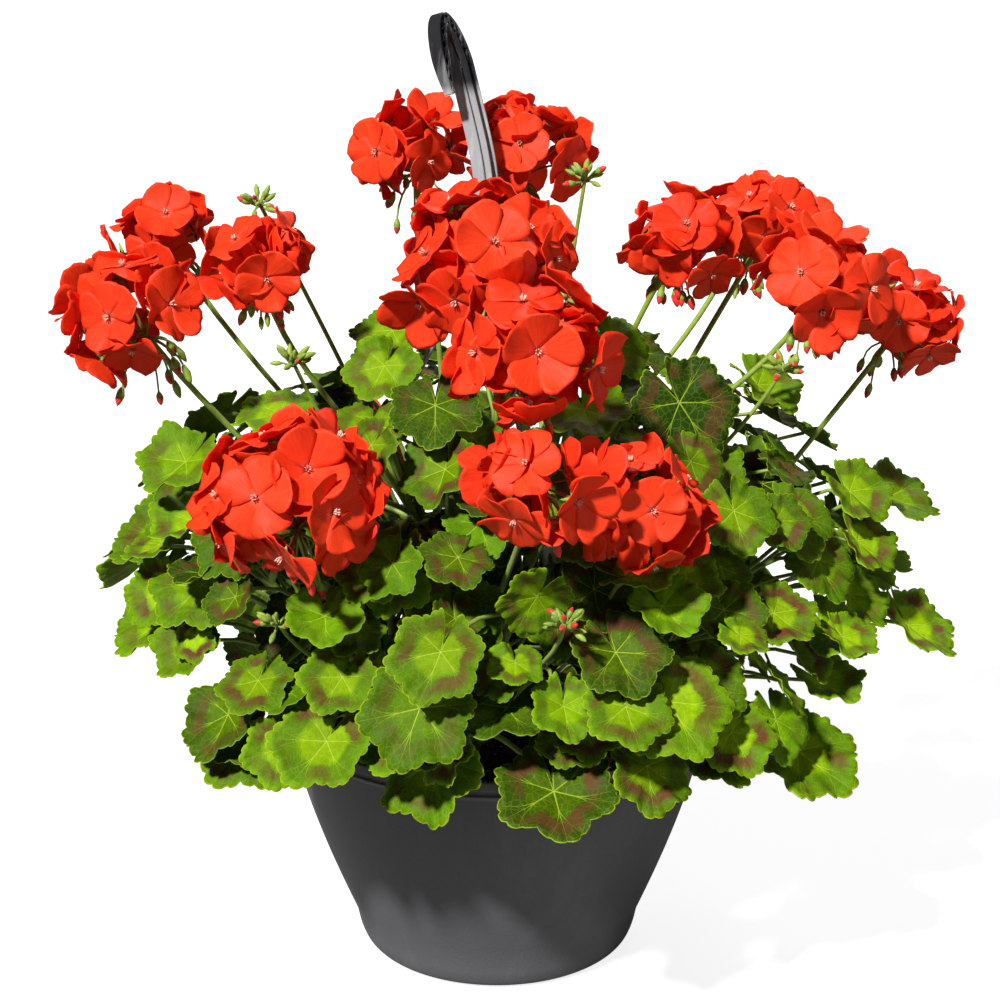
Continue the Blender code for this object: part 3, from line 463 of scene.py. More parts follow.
# Where each stem, leaf, stalk and floret stands. The first placements are the solids' own
potShape = {"rimRadius": 0.127, "height": 0.1512, "footRadius": 0.0755, "footCorner": (0.0845, 0.0205),
            "wallTop": (0.1212, 0.1375), "wallBulge": (0.1170, 0.0975), "wall": 0.0020, "floor": 0.0025,
            "sides": 144, "drainHoles": 5, "drainRadius": 0.004, "drainCircle": 0.052}
soilShape = {"top": 0.128, "crown": 0.004, "seatGap": 0.0003, "holeDepth": 0.030}
hangerShape = {"hookReach": 0.0110, "hookRise": 0.0260, "hookAzimuth": 241, "hookTilt": 17,
               "hookSweep": 213, "hookSteps": 32, "hookWidth": 0.008, "tipWidth": 0.005,
               "tipRibDepth": 0.0018, "shankTop": (-0.0189, 0.011, 0.5155),
               "shankMiddle": (-0.0119, 0.008, 0.4845), "split": (-0.0048, 0.001, 0.4500),
               "strapWidth": 0.012, "strapThick": 0.0022, "ribDepth": 0.0055, "flange": 0.0013,
               "groove": (0.0014, 0.0009), "web": 0.0014, "brace": 0.0009, "braceStep": 3,
               "armAzimuths": (290, 50, 170), "armWidth": 0.0075, "armThick": 0.003, "clipWidth": 0.010,
               "clipWall": 0.0018, "clipInside": 0.1185, "clipFoot": 0.1455, "clipPlay": 0.0005}
plant = {"seed": 11, "stemRadius": 0.0036, "outerStems": (80, 110, 140, 200, 230, 260, 320, 350, 20),
         "outerRun": (0.074, 0.124, 0.212), "innerStems": (35, 125, 215, 305),
         "innerRun": (0.030, 0.055, 0.285), "petioleRadius": 0.0015, "stalkRadius": 0.0018,
         "budStalkRadius": 0.0014, "budRoom": 0.011, "leafCup": 0.14, "leafRuffle": 0.07,
         "fillLeafSizes": (0.029, 0.037), "frontLeafScale": 1.1, "floretRadius": 0.0250,
         "floretDistance": 0.035, "headFlatten": 0.82, "coreRadius": 0.023, "coreFoot": 0.017,
         "mound": (0.222, 0.212, 0.150), "moundHeight": 0.212, "fillLeaves": 50, "lowestFrontLeaf": 0.190,
         "lowestSideLeaf": 0.215, "lowestBackLeaf": 0.165, "sideStart": 0.150, "floretTries": 40,
         "budTries": 12, "frontTries": 30, "fillTries": 25, "stalkRoom": 0.0010, "leafRoom": 0.0006,
         "floretRoom": 0.0008}
# Flower heads: across, back, up (mm), size, florets, lean outwards (degrees)
headPlaces = (
    ("left_upper", -184, 10, 419, 0.74, 5, 30),
    ("left_outer", -195, -58, 392, 0.92, 6, 35),
    ("left_inner", -125, -70, 423, 0.70, 4, 15),
    ("top_left", -49, 44, 460, 0.78, 5, 15),
    ("top_right", 15, 44, 459, 0.90, 6, 5),
    ("centre_upper", -6, -98, 428, 1.12, 8, 15),
    ("centre_lower", 17, -164, 401, 0.94, 6, 30),
    ("right_inner", 101, -15, 421, 0.76, 5, 30),
    ("right_upper", 154, 32, 422, 0.78, 5, 30),
    ("right_middle", 174, -42, 403, 0.88, 6, 30),
    ("right_outer", 228, 10, 371, 0.80, 5, 35),
    ("front_left", -103, -170, 325, 1.16, 8, 20),
    ("front_centre", 21, -203, 347, 0.78, 5, 50),
    ("front_right", 70, -172, 322, 0.88, 7, 60),
    ("back_left", -100, 185, 240, 0.90, 5, 55),
    ("back_centre", -18, 130, 386, 0.90, 5, 25),
    ("back_right", 148, 130, 398, 0.80, 5, 30),
)
# Leaves seen at the front: across, back, up, radius (mm), lift and turn of the face (degrees)
frontLeaves = (
    (-129, -140, 186, 31, 45, -25), (-34, -172, 189, 35, 32, -48), (29, -190, 176, 33, 58, 0),
    (5, -178, 223, 28, 66, 5), (77, -180, 185, 25, 40, 35), (161, -122, 168, 32, 58, 30),
    (116, -150, 186, 27, 45, 25), (104, -152, 224, 28, 45, 20), (60, -180, 248, 26, 45, 10),
    (-23, -160, 259, 32, 25, 10), (-65, -145, 208, 27, 60, 0), (-52, -152, 285, 25, 30, -20),
    (-186, -60, 222, 27, 40, -55), (-186, -40, 262, 26, 50, -45), (-167, -70, 314, 25, 55, -30),
    (-158, -100, 254, 27, 60, -20), (-162, -102, 220, 23, 45, -40), (181, -90, 185, 25, 60, 45),
    (153, -112, 199, 23, 40, 50), (234, -20, 201, 27, 50, 60), (207, -50, 214, 26, 35, 60),
    (223, 0, 271, 25, 55, 60), (196, -30, 284, 23, 50, 40), (200, -42, 259, 22, 45, 50),
    (156, -82, 288, 26, 50, 30), (123, -120, 303, 23, 40, 20), (173, -82, 262, 23, 45, 40),
    (103, -150, 278, 24, 50, 15), (159, -112, 252, 25, 55, 30), (84, -168, 268, 21, 55, 15),
    (178, -90, 226, 24, 55, 40), (-57, -30, 376, 22, 60, -20), (-60, -62, 365, 22, 45, -10),
    (-32, -100, 354, 26, 55, 0), (-118, -45, 334, 24, 75, -40), (-64, -90, 342, 24, 62, -10),
    (-21, -130, 330, 25, 30, -40), (-57, -122, 335, 22, 50, -20), (62, -28, 368, 23, 45, 40),
    (46, -80, 346, 25, 60, 10), (98, -60, 344, 31, 20, 15), (144, -20, 343, 25, 50, 45),
    (106, -108, 324, 22, 40, 20), (-135, -125, 290, 24, 50, -30), (-105, -148, 245, 26, 50, -20),
    (120, -145, 255, 22, 45, 25),
)
# Young bud clusters: across, back, up (mm)
budPlaces = ((47, -40, 463), (-107, -85, 374), (156, -45, 360), (-112, -160, 257), (34, -200, 272),
             (-131, -50, 448))


def faceAxes(normal, tip):
    # Rows: across, along the tip, out of the face
    out = unit(normal)
    across = unit(np.cross(tip, out))
    return np.array([across, np.cross(out, across), out])


def outlineReach(angle):
    return 0.87 + 0.13 * np.cos(angle)


def bladeItem(node, origin, axes, size, cup, girth, lobed):
    points = [np.zeros(3)]
    for share, count in ((0.5, 10), (1.0, 30)):
        for i in range(count):
            angle = 2 * math.pi * (i + share) / count
            outline = outlineReach(angle) if lobed else 1.0
            reach = size * share * outline
            points.append(reach * np.array([math.sin(angle), math.cos(angle), cup * outline]))
    points = np.array(points) @ axes + origin
    return dict(node=node, points=points, girth=girth, centre=origin, far=size * 1.05,
                axes=axes, size=size, cup=cup, lobed=lobed, origin=origin)


def tubeItem(node, path, girth):
    path = np.asarray(path, float)
    points = [path[0]]
    for a, b in zip(path[:-1], path[1:]):
        steps = max(1, int(np.linalg.norm(b - a) / 0.005))
        points += [a + (b - a) * k / steps for k in range(1, steps + 1)]
    points = np.array(points)
    centre = (points.min(0) + points.max(0)) / 2
    far = np.linalg.norm(points - centre, axis=1).max()
    return dict(node=node, points=points, girth=girth, centre=centre, far=far, axes=None)


def distanceToBlade(points, item):
    local = (points - item["origin"]) @ item["axes"].T
    spread = np.hypot(local[:, 0], local[:, 1])
    outline = outlineReach(np.arctan2(local[:, 0], local[:, 1])) if item["lobed"] else 1.0
    inside = np.minimum(spread, item["size"] * outline)
    return np.hypot(spread - inside, local[:, 2] - item["cup"] * outline * inside).min()


def gapBetween(a, b):
    nearest = []
    if a["axes"] is not None:
        nearest.append(distanceToBlade(b["points"], a))
    if b["axes"] is not None:
        nearest.append(distanceToBlade(a["points"], b))
    if not nearest:
        apart = a["points"][:, None, :] - b["points"][None, :, :]
        nearest.append(np.sqrt((apart * apart).sum(-1)).min())
    return min(nearest) - a["girth"] - b["girth"]


class Placed:
    # Everything that stands in the pot so far

    def __init__(self):
        self.items = []
        self.centres = np.zeros((0, 3))
        self.fars = np.zeros(0)

    def add(self, *items):
        for item in items:
            self.items.append(item)
            self.centres = np.vstack([self.centres, item["centre"]])
            self.fars = np.append(self.fars, item["far"])

    def clear(self, item, room, ownRoom=0.0):
        apart = np.linalg.norm(self.centres - item["centre"], axis=1) - self.fars - item["far"]
        for index in np.nonzero(apart < 0.012)[0]:
            other = self.items[index]
            need = room
            if other["node"] == item["node"]:
                if other["axes"] is None:
                    continue
                need = ownRoom
            if gapBetween(item, other) < need:
                return False
        return True


def armPath(azimuth, steps=6):
    top = np.array(hangerShape["split"]) + polar(azimuth, 0.002)
    foot = polar(azimuth, 0.1205, potShape["height"] + 0.0010)
    down = top + polar(azimuth, 0.010) - np.array([0, 0, 0.10])
    up = foot + polar(azimuth, -0.012) + np.array([0, 0, 0.12])
    return bezier((top, down, up, foot), steps)


def stemPath(azimuth, inner, steps=2):
    radius, topRadius, top = plant["innerRun"] if inner else plant["outerRun"]
    foot = polar(azimuth, radius, soilShape["top"] - soilShape["holeDepth"] + 0.004)
    mouth = polar(azimuth, radius, soilShape["top"] + soilShape["crown"] + 0.002)
    bend = (mouth, mouth + [0, 0, 0.035], polar(azimuth, topRadius, top))
    return np.vstack([foot, bezier(bend, steps)])


def along(path, share):
    place = share * (len(path) - 1)
    k = min(int(place), len(path) - 2)
    return path[k] + (path[k + 1] - path[k]) * (place - k)


def stalkBends(start, end, arrival, bow):
    length = np.linalg.norm(end - start)
    rise = unit(unit(end - start) + np.array([0, 0, bow]))
    return (start, start + rise * length * 0.35, end - arrival * length * 0.3, end)


def chooseStalk(placed, stems, target, arrival, girth, steps, tested=1.0):
    # The first stalk, from the nearest stems on, that stays clear
    order = sorted(range(len(stems)), key=lambda k: np.linalg.norm(stems[k][-1] - target))
    for k in order[:8]:
        node = "stem_%02d" % (k + 1)
        taken = sum(item["node"] == node for item in placed.items)
        for n in range(5):
            share = 0.42 + 0.56 * ((0.618 * (taken + n)) % 1.0)
            start = along(stems[k], share)
            for bow in (0.35, 0.9, 0.0, 1.6):
                bends = stalkBends(start, target, arrival, bow)
                path = bezier(bends, steps)
                last = [path[-2], along(path[-2:], tested)]
                if placed.clear(tubeItem(node, path[:-1], girth), plant["stalkRoom"]):
                    if placed.clear(tubeItem(node, last, girth), plant["stalkRoom"]):
                        return node, path, bends
    return None, None, None


def placeHeads(placed, rng):
    heads = []
    for name, x, y, z, size, count, lean in headPlaces:
        centre = np.array([x, y, z]) / 1000
        outward = unit([x, y, 0.0])
        tilt = math.radians(lean)
        axis = math.cos(tilt) * np.array([0, 0, 1]) + math.sin(tilt) * outward
        node = "head_" + name
        side = unit(np.cross(axis, [1, 0, 0.1]))
        third = np.cross(axis, side)
        ends = [centre - axis * 0.006 * size, centre + axis * 0.010 * size]
        placed.add(tubeItem(node, ends, plant["coreRadius"] * size))
        heads.append(dict(name=name, node=node, centre=centre, axis=axis, size=size, side=side,
                          third=third, florets=[], count=count))
    for head in heads:
        phase = rng.uniform(0, 360)
        spacing = math.sqrt(7.7 / (0.866 * head["count"]))
        widest = min(plant["floretRadius"],
                     0.97 * plant["floretDistance"] * math.tan(spacing / 2)) * head["size"]
        for i in range(head["count"]):
            for attempt in range(plant["floretTries"]):
                loose = attempt / plant["floretTries"]
                cosine = 0.97 - (i + 0.25) / head["count"] * 1.22
                cosine = np.clip(cosine + rng.normal(0, 0.04 + 0.12 * loose), -0.45, 0.99)
                turn = math.radians(phase + goldenAngle * i) + rng.normal(0, 0.08 + 0.5 * loose)
                sine = math.sqrt(1 - cosine * cosine)
                flat = math.cos(turn) * head["side"] + math.sin(turn) * head["third"]
                way = cosine * head["axis"] + sine * flat
                reach = plant["headFlatten"] * cosine * head["axis"] + sine * flat
                distance = (plant["floretDistance"] + rng.uniform(-0.003, 0.003)) * head["size"]
                face = unit(way + rng.normal(0, 0.10, 3))
                axes = faceAxes(face, head["side"] + 0.3 * head["third"])
                spin = rng.uniform(0, 72)
                radius = widest * (0.92 + 0.14 * rng.random()) * (1 - 0.15 * loose)
                origin = head["centre"] + reach * distance
                item = bladeItem(head["node"], origin, axes, radius, 0.12, 0.0016, False)
                if placed.clear(item, plant["floretRoom"], -plant["floretRoom"]):
                    head["florets"].append(dict(origin=origin, axes=axes, radius=radius, spin=spin, way=way))
                    placed.add(item)
                    break
    return heads


def placeHeadStalks(placed, stems, heads):
    stalks = []
    for head in heads:
        end = head["centre"] - head["axis"] * (plant["coreFoot"] * head["size"] + soilShape["seatGap"])
        stop = end - head["axis"] * 0.004
        node, path, bends = chooseStalk(placed, stems, stop, head["axis"], plant["stalkRadius"], 3, 0.8)
        path = np.vstack([path, end])
        placed.add(tubeItem(node, path[:-1], plant["stalkRadius"]))
        stalks.append(dict(node=node, bends=bends, end=end))
    return stalks


def placeBuds(placed, stems, rng):
    clusters = []
    for x, y, z in budPlaces:
        place = np.array([x, y, z]) / 1000
        for attempt in range(plant["budTries"]):
            spot = place + rng.normal(0, 0.003 * attempt, 3)
            ball = tubeItem("", [spot - [0, 0, 0.003], spot + [0, 0, 0.003]], plant["budRoom"])
            arrival = unit([x, y, 300])
            node, path, bends = chooseStalk(placed, stems, spot, arrival, plant["budStalkRadius"], 3)
            if node is None:
                continue
            ball["node"] = node
            if placed.clear(ball, plant["stalkRoom"]):
                placed.add(ball, tubeItem(node, path, plant["budStalkRadius"]))
                clusters.append(dict(node=node, bends=bends, spot=spot, phase=rng.uniform(0, 6)))
                break
    return clusters


def tryLeaf(placed, stems, origin, normal, tip, size, rng):
    axes = faceAxes(normal, tip)
    item = bladeItem("", origin, axes, size, plant["leafCup"], 0.0008 + 0.055 * size, True)
    if not placed.clear(item, plant["leafRoom"]):
        return None
    arrival = unit(normal * 0.6 + axes[1] * 0.8)
    node, path, bends = chooseStalk(placed, stems, origin, arrival, plant["petioleRadius"], 2)
    if node is None:
        return None
    item["node"] = node
    placed.add(item)
    for part in (path[:2], path[1:]):
        placed.add(tubeItem(node, part, plant["petioleRadius"]))
    return dict(node=node, origin=origin, axes=axes, size=size, bends=bends, phase=rng.uniform(0, 6))


def lowestLeaf(spot):
    if abs(spot[0]) > plant["sideStart"]:
        return plant["lowestSideLeaf"]
    return plant["lowestFrontLeaf"] if spot[1] < 0.05 else plant["lowestBackLeaf"]


def placeLeaves(placed, stems, rng):
    leaves = []
    for x, y, z, radius, lift, turn in frontLeaves:
        place = np.array([x, y, z]) / 1000
        for attempt in range(plant["frontTries"]):
            loose = attempt / plant["frontTries"]
            up = math.radians(lift + rng.normal(0, 14 * loose))
            way = polar(turn - 90 + rng.normal(0, 18 * loose))
            normal = math.cos(up) * way + math.sin(up) * np.array([0, 0, 1])
            tip = unit([x, y, 0]) * 0.5 + np.array([0, 0, -1]) + rng.normal(0, 0.2, 3)
            spot = place + rng.normal(0, 0.012 * loose, 3) + [0, 0.01 * loose, 0]
            size = plant["frontLeafScale"] * radius / 1000 * (1 - 0.2 * loose)
            made = tryLeaf(placed, stems, spot, normal, tip, size, rng)
            if made:
                leaves.append(made)
                break
    for i in range(plant["fillLeaves"]):
        for attempt in range(plant["fillTries"]):
            loose = attempt / plant["fillTries"]
            height = 0.93 - 1.45 * (i + 0.5) / plant["fillLeaves"] + rng.normal(0, 0.03 + 0.1 * loose)
            height = max(-0.6, min(0.97, height))
            azimuth = goldenAngle * i + rng.normal(0, 6 + 25 * loose)
            flat = math.sqrt(1 - height * height)
            way = polar(azimuth, flat, height)
            shrink = 1 - rng.uniform(0, 0.12 + 0.25 * loose)
            spot = np.array(plant["mound"]) * way * shrink + [0, 0, plant["moundHeight"]]
            if spot[2] < lowestLeaf(spot):
                continue
            normal = unit(way + np.array([0, 0, 0.75]) + rng.normal(0, 0.22, 3))
            tip = polar(azimuth) * 0.6 - np.array([0, 0, 1]) + rng.normal(0, 0.3, 3)
            size = rng.uniform(*plant["fillLeafSizes"]) * (1 - 0.2 * loose)
            made = tryLeaf(placed, stems, spot, normal, tip, size, rng)
            if made:
                leaves.append(made)
                break
    return leaves


def placeAll():
    rng = np.random.default_rng(plant["seed"])
    placed = Placed()
    wall = bezier((potShape["footCorner"], potShape["wallBulge"], potShape["wallTop"]), 6)
    rimRadius, height = potShape["rimRadius"], potShape["height"]
    for radius, level in list(wall) + [(rimRadius, 0.142), (rimRadius, height)]:
        circle = [polar(4 * k, radius - 0.001, level) for k in range(90)]
        placed.add(tubeItem("pot", circle, 0.003))
    for azimuth in hangerShape["armAzimuths"]:
        clip = [polar(azimuth, radius, height) for radius in (hangerShape["clipInside"], rimRadius)]
        placed.add(tubeItem("hanger", armPath(azimuth), hangerShape["armWidth"] * 0.64))
        placed.add(tubeItem("hanger", clip, hangerShape["clipWidth"] * 0.65))
    shank = [hangerShape["split"], hangerShape["shankMiddle"], hangerShape["shankTop"]]
    placed.add(tubeItem("hanger", shank, hangerShape["strapWidth"] * 0.625))
    stems = [stemPath(a, False) for a in plant["outerStems"]]
    stems += [stemPath(a, True) for a in plant["innerStems"]]
    for k, path in enumerate(stems):
        placed.add(tubeItem("stem_%02d" % (k + 1), path, plant["stemRadius"]))
    heads = placeHeads(placed, rng)
    stalks = placeHeadStalks(placed, stems, heads)
    buds = placeBuds(placed, stems, rng)
    leaves = placeLeaves(placed, stems, rng)
    return placed, stems, heads, stalks, buds, leaves


placed, stems, heads, stalks, buds, leaves = placeAll()
print("placed", len(leaves), "leaves and", len(buds), "bud clusters")

# More leaves and florets than the solids carry, with their own fixed seed
extras = {"seed": 29, "outerLeaves": 170, "outerShrink": (0.80, 1.0), "outerSizes": (0.019, 0.032),
          "innerLeaves": 150, "innerShrink": (0.36, 0.80), "innerSizes": (0.022, 0.036), "tries": 22,
          "floretSpacing": 0.0235, "floretRadius": 0.0198, "floretDepths": (0.82, 0.97), "headExtent": 0.0412,
          "budsPerHead": 12}


def easyStalk(target, arrival):
    # A clear stalk from one of the nearest stems, or else the first one tried
    order = sorted(range(len(stems)), key=lambda k: np.linalg.norm(stems[k][-1] - target))
    spare = None
    for k in order[:4]:
        node = "stem_%02d" % (k + 1)
        for share in (0.55, 0.75, 0.93):
            for bow in (0.35, 1.0):
                bends = stalkBends(along(stems[k], share), target, arrival, bow)
                spare = spare or (node, bends)
                if placed.clear(tubeItem(node, bezier(bends, 3), plant["petioleRadius"]), 0.0):
                    return node, bends
    return spare


def addLeaves(rng, count, shrinks, sizes, room):
    added = []
    low, high = np.array(packedBox[0]), np.array(packedBox[1])
    for i in range(count):
        for attempt in range(extras["tries"]):
            loose = attempt / extras["tries"]
            height = rng.uniform(-0.55, 0.96)
            azimuth = goldenAngle * i + rng.normal(0, 20)
            if i % 3:
                azimuth = rng.normal(270, 60)
            way = polar(azimuth, math.sqrt(1 - height * height), height)
            spot = np.array(plant["mound"]) * way * rng.uniform(*shrinks) + [0, 0, plant["moundHeight"]]
            if spot[2] < lowestLeaf(spot):
                continue
            normal = unit(way + np.array([0, 0, rng.uniform(0.1, 1.5)]) + rng.normal(0, 0.35, 3))
            tip = polar(azimuth) * 0.6 - np.array([0, 0, 1]) + rng.normal(0, 0.35, 3)
            size = rng.uniform(*sizes) * (1 - 0.25 * loose)
            if (spot - size < low).any() or (spot + size > high).any():
                continue
            axes = faceAxes(normal, tip)
            item = bladeItem("extra", spot, axes, size, plant["leafCup"], 0.0006, True)
            if placed.clear(item, room, room):
                node, bends = easyStalk(spot, unit(normal * 0.6 + axes[1] * 0.8))
                placed.add(item)
                added.append(dict(node=node, origin=spot, axes=axes, size=size, bends=bends,
                                  phase=rng.uniform(0, 6)))
                break
    return added


def hitsHanger(item):
    return any(other["node"] == "hanger" and gapBetween(item, other) < 0.0005 for other in placed.items)


def fillHead(head, rng):
    # Florets between the solids' own, on shorter and longer stalks, as in a full head
    size = head["size"]
    radius = extras["floretRadius"] * (0.72 + 0.28 * size)
    far = math.sqrt((extras["headExtent"] * size) ** 2 - radius ** 2)
    kept = [f["way"] for f in head["florets"]]
    for floret in head["florets"]:
        floret["radius"] = min(floret["radius"], 1.08 * radius)
    candidates = []
    for i in range(200):
        cosine = 0.98 - 1.40 * (i + 0.5) / 200
        turn = math.radians(goldenAngle * i) + rng.normal(0, 0.05)
        sine = math.sqrt(1 - cosine * cosine)
        flat = sine * (math.cos(turn) * head["side"] + math.sin(turn) * head["third"])
        candidates.append((cosine * head["axis"] + flat, plant["headFlatten"] * cosine * head["axis"] + flat))

    def add(way, reach, distance, spread, share, **more):
        axes = faceAxes(unit(way + rng.normal(0, spread, 3)), head["side"] + 0.3 * head["third"])
        origin = head["centre"] + reach * distance
        if not hitsHanger(bladeItem("extra", origin, axes, radius * share, 0.12, 0.0004, False)):
            head["florets"].append(dict(origin=origin, axes=axes, way=way, radius=radius * share,
                                        spin=rng.uniform(0, 72), **more))

    limit = math.cos(2 * math.asin(extras["floretSpacing"] / 2 / far))
    while True:
        nearest = [max(np.dot(way, other) for other in kept) for way, reach in candidates]
        best = int(np.argmin(nearest))
        if nearest[best] > limit:
            break
        way, reach = candidates[best]
        kept.append(way)
        add(way, reach, far * rng.uniform(*extras["floretDepths"]), 0.32, rng.uniform(0.92, 1.08))
    for i in range(round(8 * size)):
        way, reach = candidates[int(rng.integers(0, 170))]
        add(way, reach, 0.60 * far, 0.45, 0.85, inner=True)


extraRng = np.random.default_rng(extras["seed"])
leaves += addLeaves(extraRng, extras["outerLeaves"], extras["outerShrink"], extras["outerSizes"], 0.0012)
leaves += addLeaves(extraRng, extras["innerLeaves"], extras["innerShrink"], extras["innerSizes"], 0.0004)
for head in heads:
    fillHead(head, extraRng)
print("with extras", len(leaves), "leaves,", sum(len(h["florets"]) for h in heads), "florets")


# Kinds of leaf, floret, bud and sepals: thin closed shells that the plant repeats
kindsOf = {"leaf": 8, "floret": 7, "bud": 3}
leafForm = {"teeth": 27, "toothDepth": 0.055, "lobeDepth": 0.080, "notch": 0.76,
            "thick": 0.016, "crease": 0.042}
petalForm = {"width": 0.53, "length": 1.0, "thick": 0.022}


def stitch(inner, outer):
    # Triangles between two rings, the outer one with as many points or twice as many
    faces = []
    for i in range(len(inner)):
        a, b = inner[i], inner[(i + 1) % len(inner)]
        if len(outer) == len(inner):
            c, d = outer[i], outer[(i + 1) % len(outer)]
            faces += [[a, c, d], [a, d, b]]
        else:
            c, d, e = outer[2 * i], outer[2 * i + 1], outer[(2 * i + 2) % len(outer)]
            faces += [[a, c, d], [a, d, b], [b, d, e]]
    return faces


def thinShell(rings, middle, thick):
    # A closed blade from rings of (x, y, z, u, v) round a middle point
    rows = [np.array([middle])] + [np.array(ring) for ring in rings]
    flat = np.vstack(rows)
    count = len(flat)
    starts = np.cumsum([0] + [len(row) for row in rows])
    loops = [list(range(starts[k], starts[k + 1])) for k in range(len(rows))]
    faces = []
    for i in range(len(loops[1])):
        faces.append([0, loops[1][i], loops[1][(i + 1) % len(loops[1])]])
    for inner, outer in zip(loops[1:-1], loops[2:]):
        faces += stitch(inner, outer)
    below = [[c + count for c in face[::-1]] for face in faces]
    rim = loops[-1]
    walls = []
    for i in range(len(rim)):
        a, b = rim[i], rim[(i + 1) % len(rim)]
        walls += [[a, a + count, b + count], [a, b + count, b]]
    upper, lower = flat[:, :3].copy(), flat[:, :3].copy()
    upper[:, 2] += thick / 2
    lower[:, 2] -= thick / 2
    uvs = np.vstack([flat[:, 3:5], flat[:, 3:5]])
    under = np.concatenate([np.zeros(count), np.ones(count)])
    return np.vstack([upper, lower]), faces + below + walls, uvs, under


def kindObject(name, points, faces, uvs, numbers):
    # Only the scatter tree reads it
    mesh = facesOut(newMesh(name, points, faces))
    layer = mesh.uv_layers.new(name="UVMap")
    corners = np.zeros(len(mesh.loops), int)
    mesh.loops.foreach_get("vertex_index", corners)
    layer.data.foreach_set("uv", np.asarray(uvs, float)[corners].ravel())
    for label, values in numbers.items():
        mesh.attributes.new(label, "FLOAT", "POINT").data.foreach_set("value", np.asarray(values, float))
    mesh.shade_smooth()
    return bpy.data.objects.new(name, mesh)


def leafKind(number):
    # A lobe for each radian, crenate teeth, folds along the veins, and the notch at the stalk
    rng = np.random.default_rng(100 + number)
    phase = (number + 0.5) * 0.75
    count = 4 * leafForm["teeth"]
    turn = 2 * math.pi * np.arange(count) / count
    signed = (turn + math.pi) % (2 * math.pi) - math.pi
    lobes = 0.97 + leafForm["lobeDepth"] * np.cos(2 * math.pi * signed)
    tooth = np.tile([0.0, 0.85, 1.0, 0.85], leafForm["teeth"]) - 0.7
    tooth = tooth * leafForm["toothDepth"] * np.repeat(rng.uniform(0.7, 1.3, leafForm["teeth"]), 4)
    notch = 1 - leafForm["notch"] * np.exp(-((math.pi - np.abs(signed)) / 0.13) ** 2)
    wander = rng.uniform(-0.02, 0.02) * np.cos(signed)
    wander = wander + rng.uniform(-0.02, 0.02) * np.cos(2 * signed + rng.uniform(0, 6))
    ripple = -0.4 * np.cos(2 * math.pi * signed)
    ruffle = plant["leafRuffle"] * rng.uniform(0.9, 1.7)
    wave = ruffle * (0.7 * np.sin(2.6 * signed + phase) + 0.4 * np.sin(4.3 * signed + 2 * phase) + ripple)
    curl = rng.uniform(-0.05, 0.04) + rng.uniform(0.01, 0.03) * np.sin(3 * signed + rng.uniform(0, 6))
    veinLocal = np.abs(signed - np.round(signed))
    frill = rng.uniform(0.03, 0.05) * np.cos(4 * math.pi * signed + rng.uniform(-0.5, 0.5))
    frill = frill + rng.uniform(0.03, 0.07) * np.sin(5 * signed + rng.uniform(0, 6))
    bowl = (0.0, 0.14, -0.12, 0.05, 0.20, -0.06, 0.10, -0.18)[number]
    fold = (0.0, 0.10, 0.0, 0.22, -0.06, 0.0, 0.16, 0.05)[number]
    rings = []
    for share, step in ((0.13, 4), (0.34, 4), (0.60, 2), (0.85, 1), (1.0, 1)):
        edge = tooth * (share > 0.9) + 0.30 * tooth * (share == 0.85)
        reach = outlineReach(signed) * (1 + (lobes - 1) * share ** 2 + edge + wander) * notch
        flat = share * reach
        crease = -leafForm["crease"] * np.exp(-(veinLocal * flat / 0.05) ** 2) * min(1.0, 2 * share)
        z = (plant["leafCup"] + bowl) * reach * reach * share ** 1.3 + wave * reach * share ** 1.6
        z = z + curl * share ** 4 + frill * share ** 2.2 + crease + fold * np.abs(flat * np.sin(signed))
        ring = np.stack([flat * np.sin(signed), flat * np.cos(signed), z,
                         0.5 + 0.5 * share * np.sin(signed), 0.5 + 0.5 * share * np.cos(signed)], 1)
        rings.append(ring[::step])
    points, faces, uvs, under = thinShell(rings, (0, 0, -0.01, 0.5, 0.5), leafForm["thick"])
    return kindObject("leafKind%d" % number, points, faces, uvs, {"under": under})


def petalShell(rng, spin, rise, open, fine):
    # One obovate petal, arched, folded and frilled, turned round the floret's middle
    count = 18 if fine else 10
    turn = 2 * math.pi * np.arange(count) / count
    width = petalForm["width"] * rng.uniform(0.92, 1.06)
    length = petalForm["length"] * rng.uniform(0.93, 1.04)
    fold, frill, tilt = rng.uniform(-0.22, 0.24), rng.uniform(0.05, 0.10), rng.uniform(0.08, 0.16)
    ripple, lean = rng.uniform(0, 6), rng.uniform(-0.05, 0.05)
    dent = rng.uniform(0.0, 0.06)

    def bent(x, y):
        side = x / width
        z = rise * y * y + fold * side * side * y + tilt * side * y + 0.02 * y
        wave = math.sin(3.2 * side + ripple) + 0.5 * math.sin(7.0 * side - ripple)
        z += frill * wave * y ** 2.5 + open * y
        return z

    rings = []
    for share in (0.42, 0.76, 1.0) if fine else (0.6, 1.0):
        ring = []
        for angle in turn:
            ahead = math.cos(angle)
            x = share * width * math.sin(angle) * (1 - 0.72 * max(0.0, -ahead) ** 1.5)
            y = 0.64 + share * (0.36 if ahead > 0 else 0.60) * ahead
            if share == 1.0:
                y -= dent * math.exp(-(math.sin(angle / 2) / 0.2) ** 2)
            x, y = x + lean * y * y, y * length
            ring.append((x, y, bent(x, y), 0.5 + 0.5 * x / width, y))
        rings.append(ring)
    middle = (lean * 0.41, 0.64 * length, bent(lean * 0.41, 0.64 * length), 0.5, 0.64)
    points, faces, uvs, under = thinShell(rings, middle, petalForm["thick"])
    cosine, sine = math.cos(spin), math.sin(spin)
    turned = points.copy()
    turned[:, 0] = points[:, 0] * cosine + points[:, 1] * sine
    turned[:, 1] = -points[:, 0] * sine + points[:, 1] * cosine
    return turned, faces, uvs, under


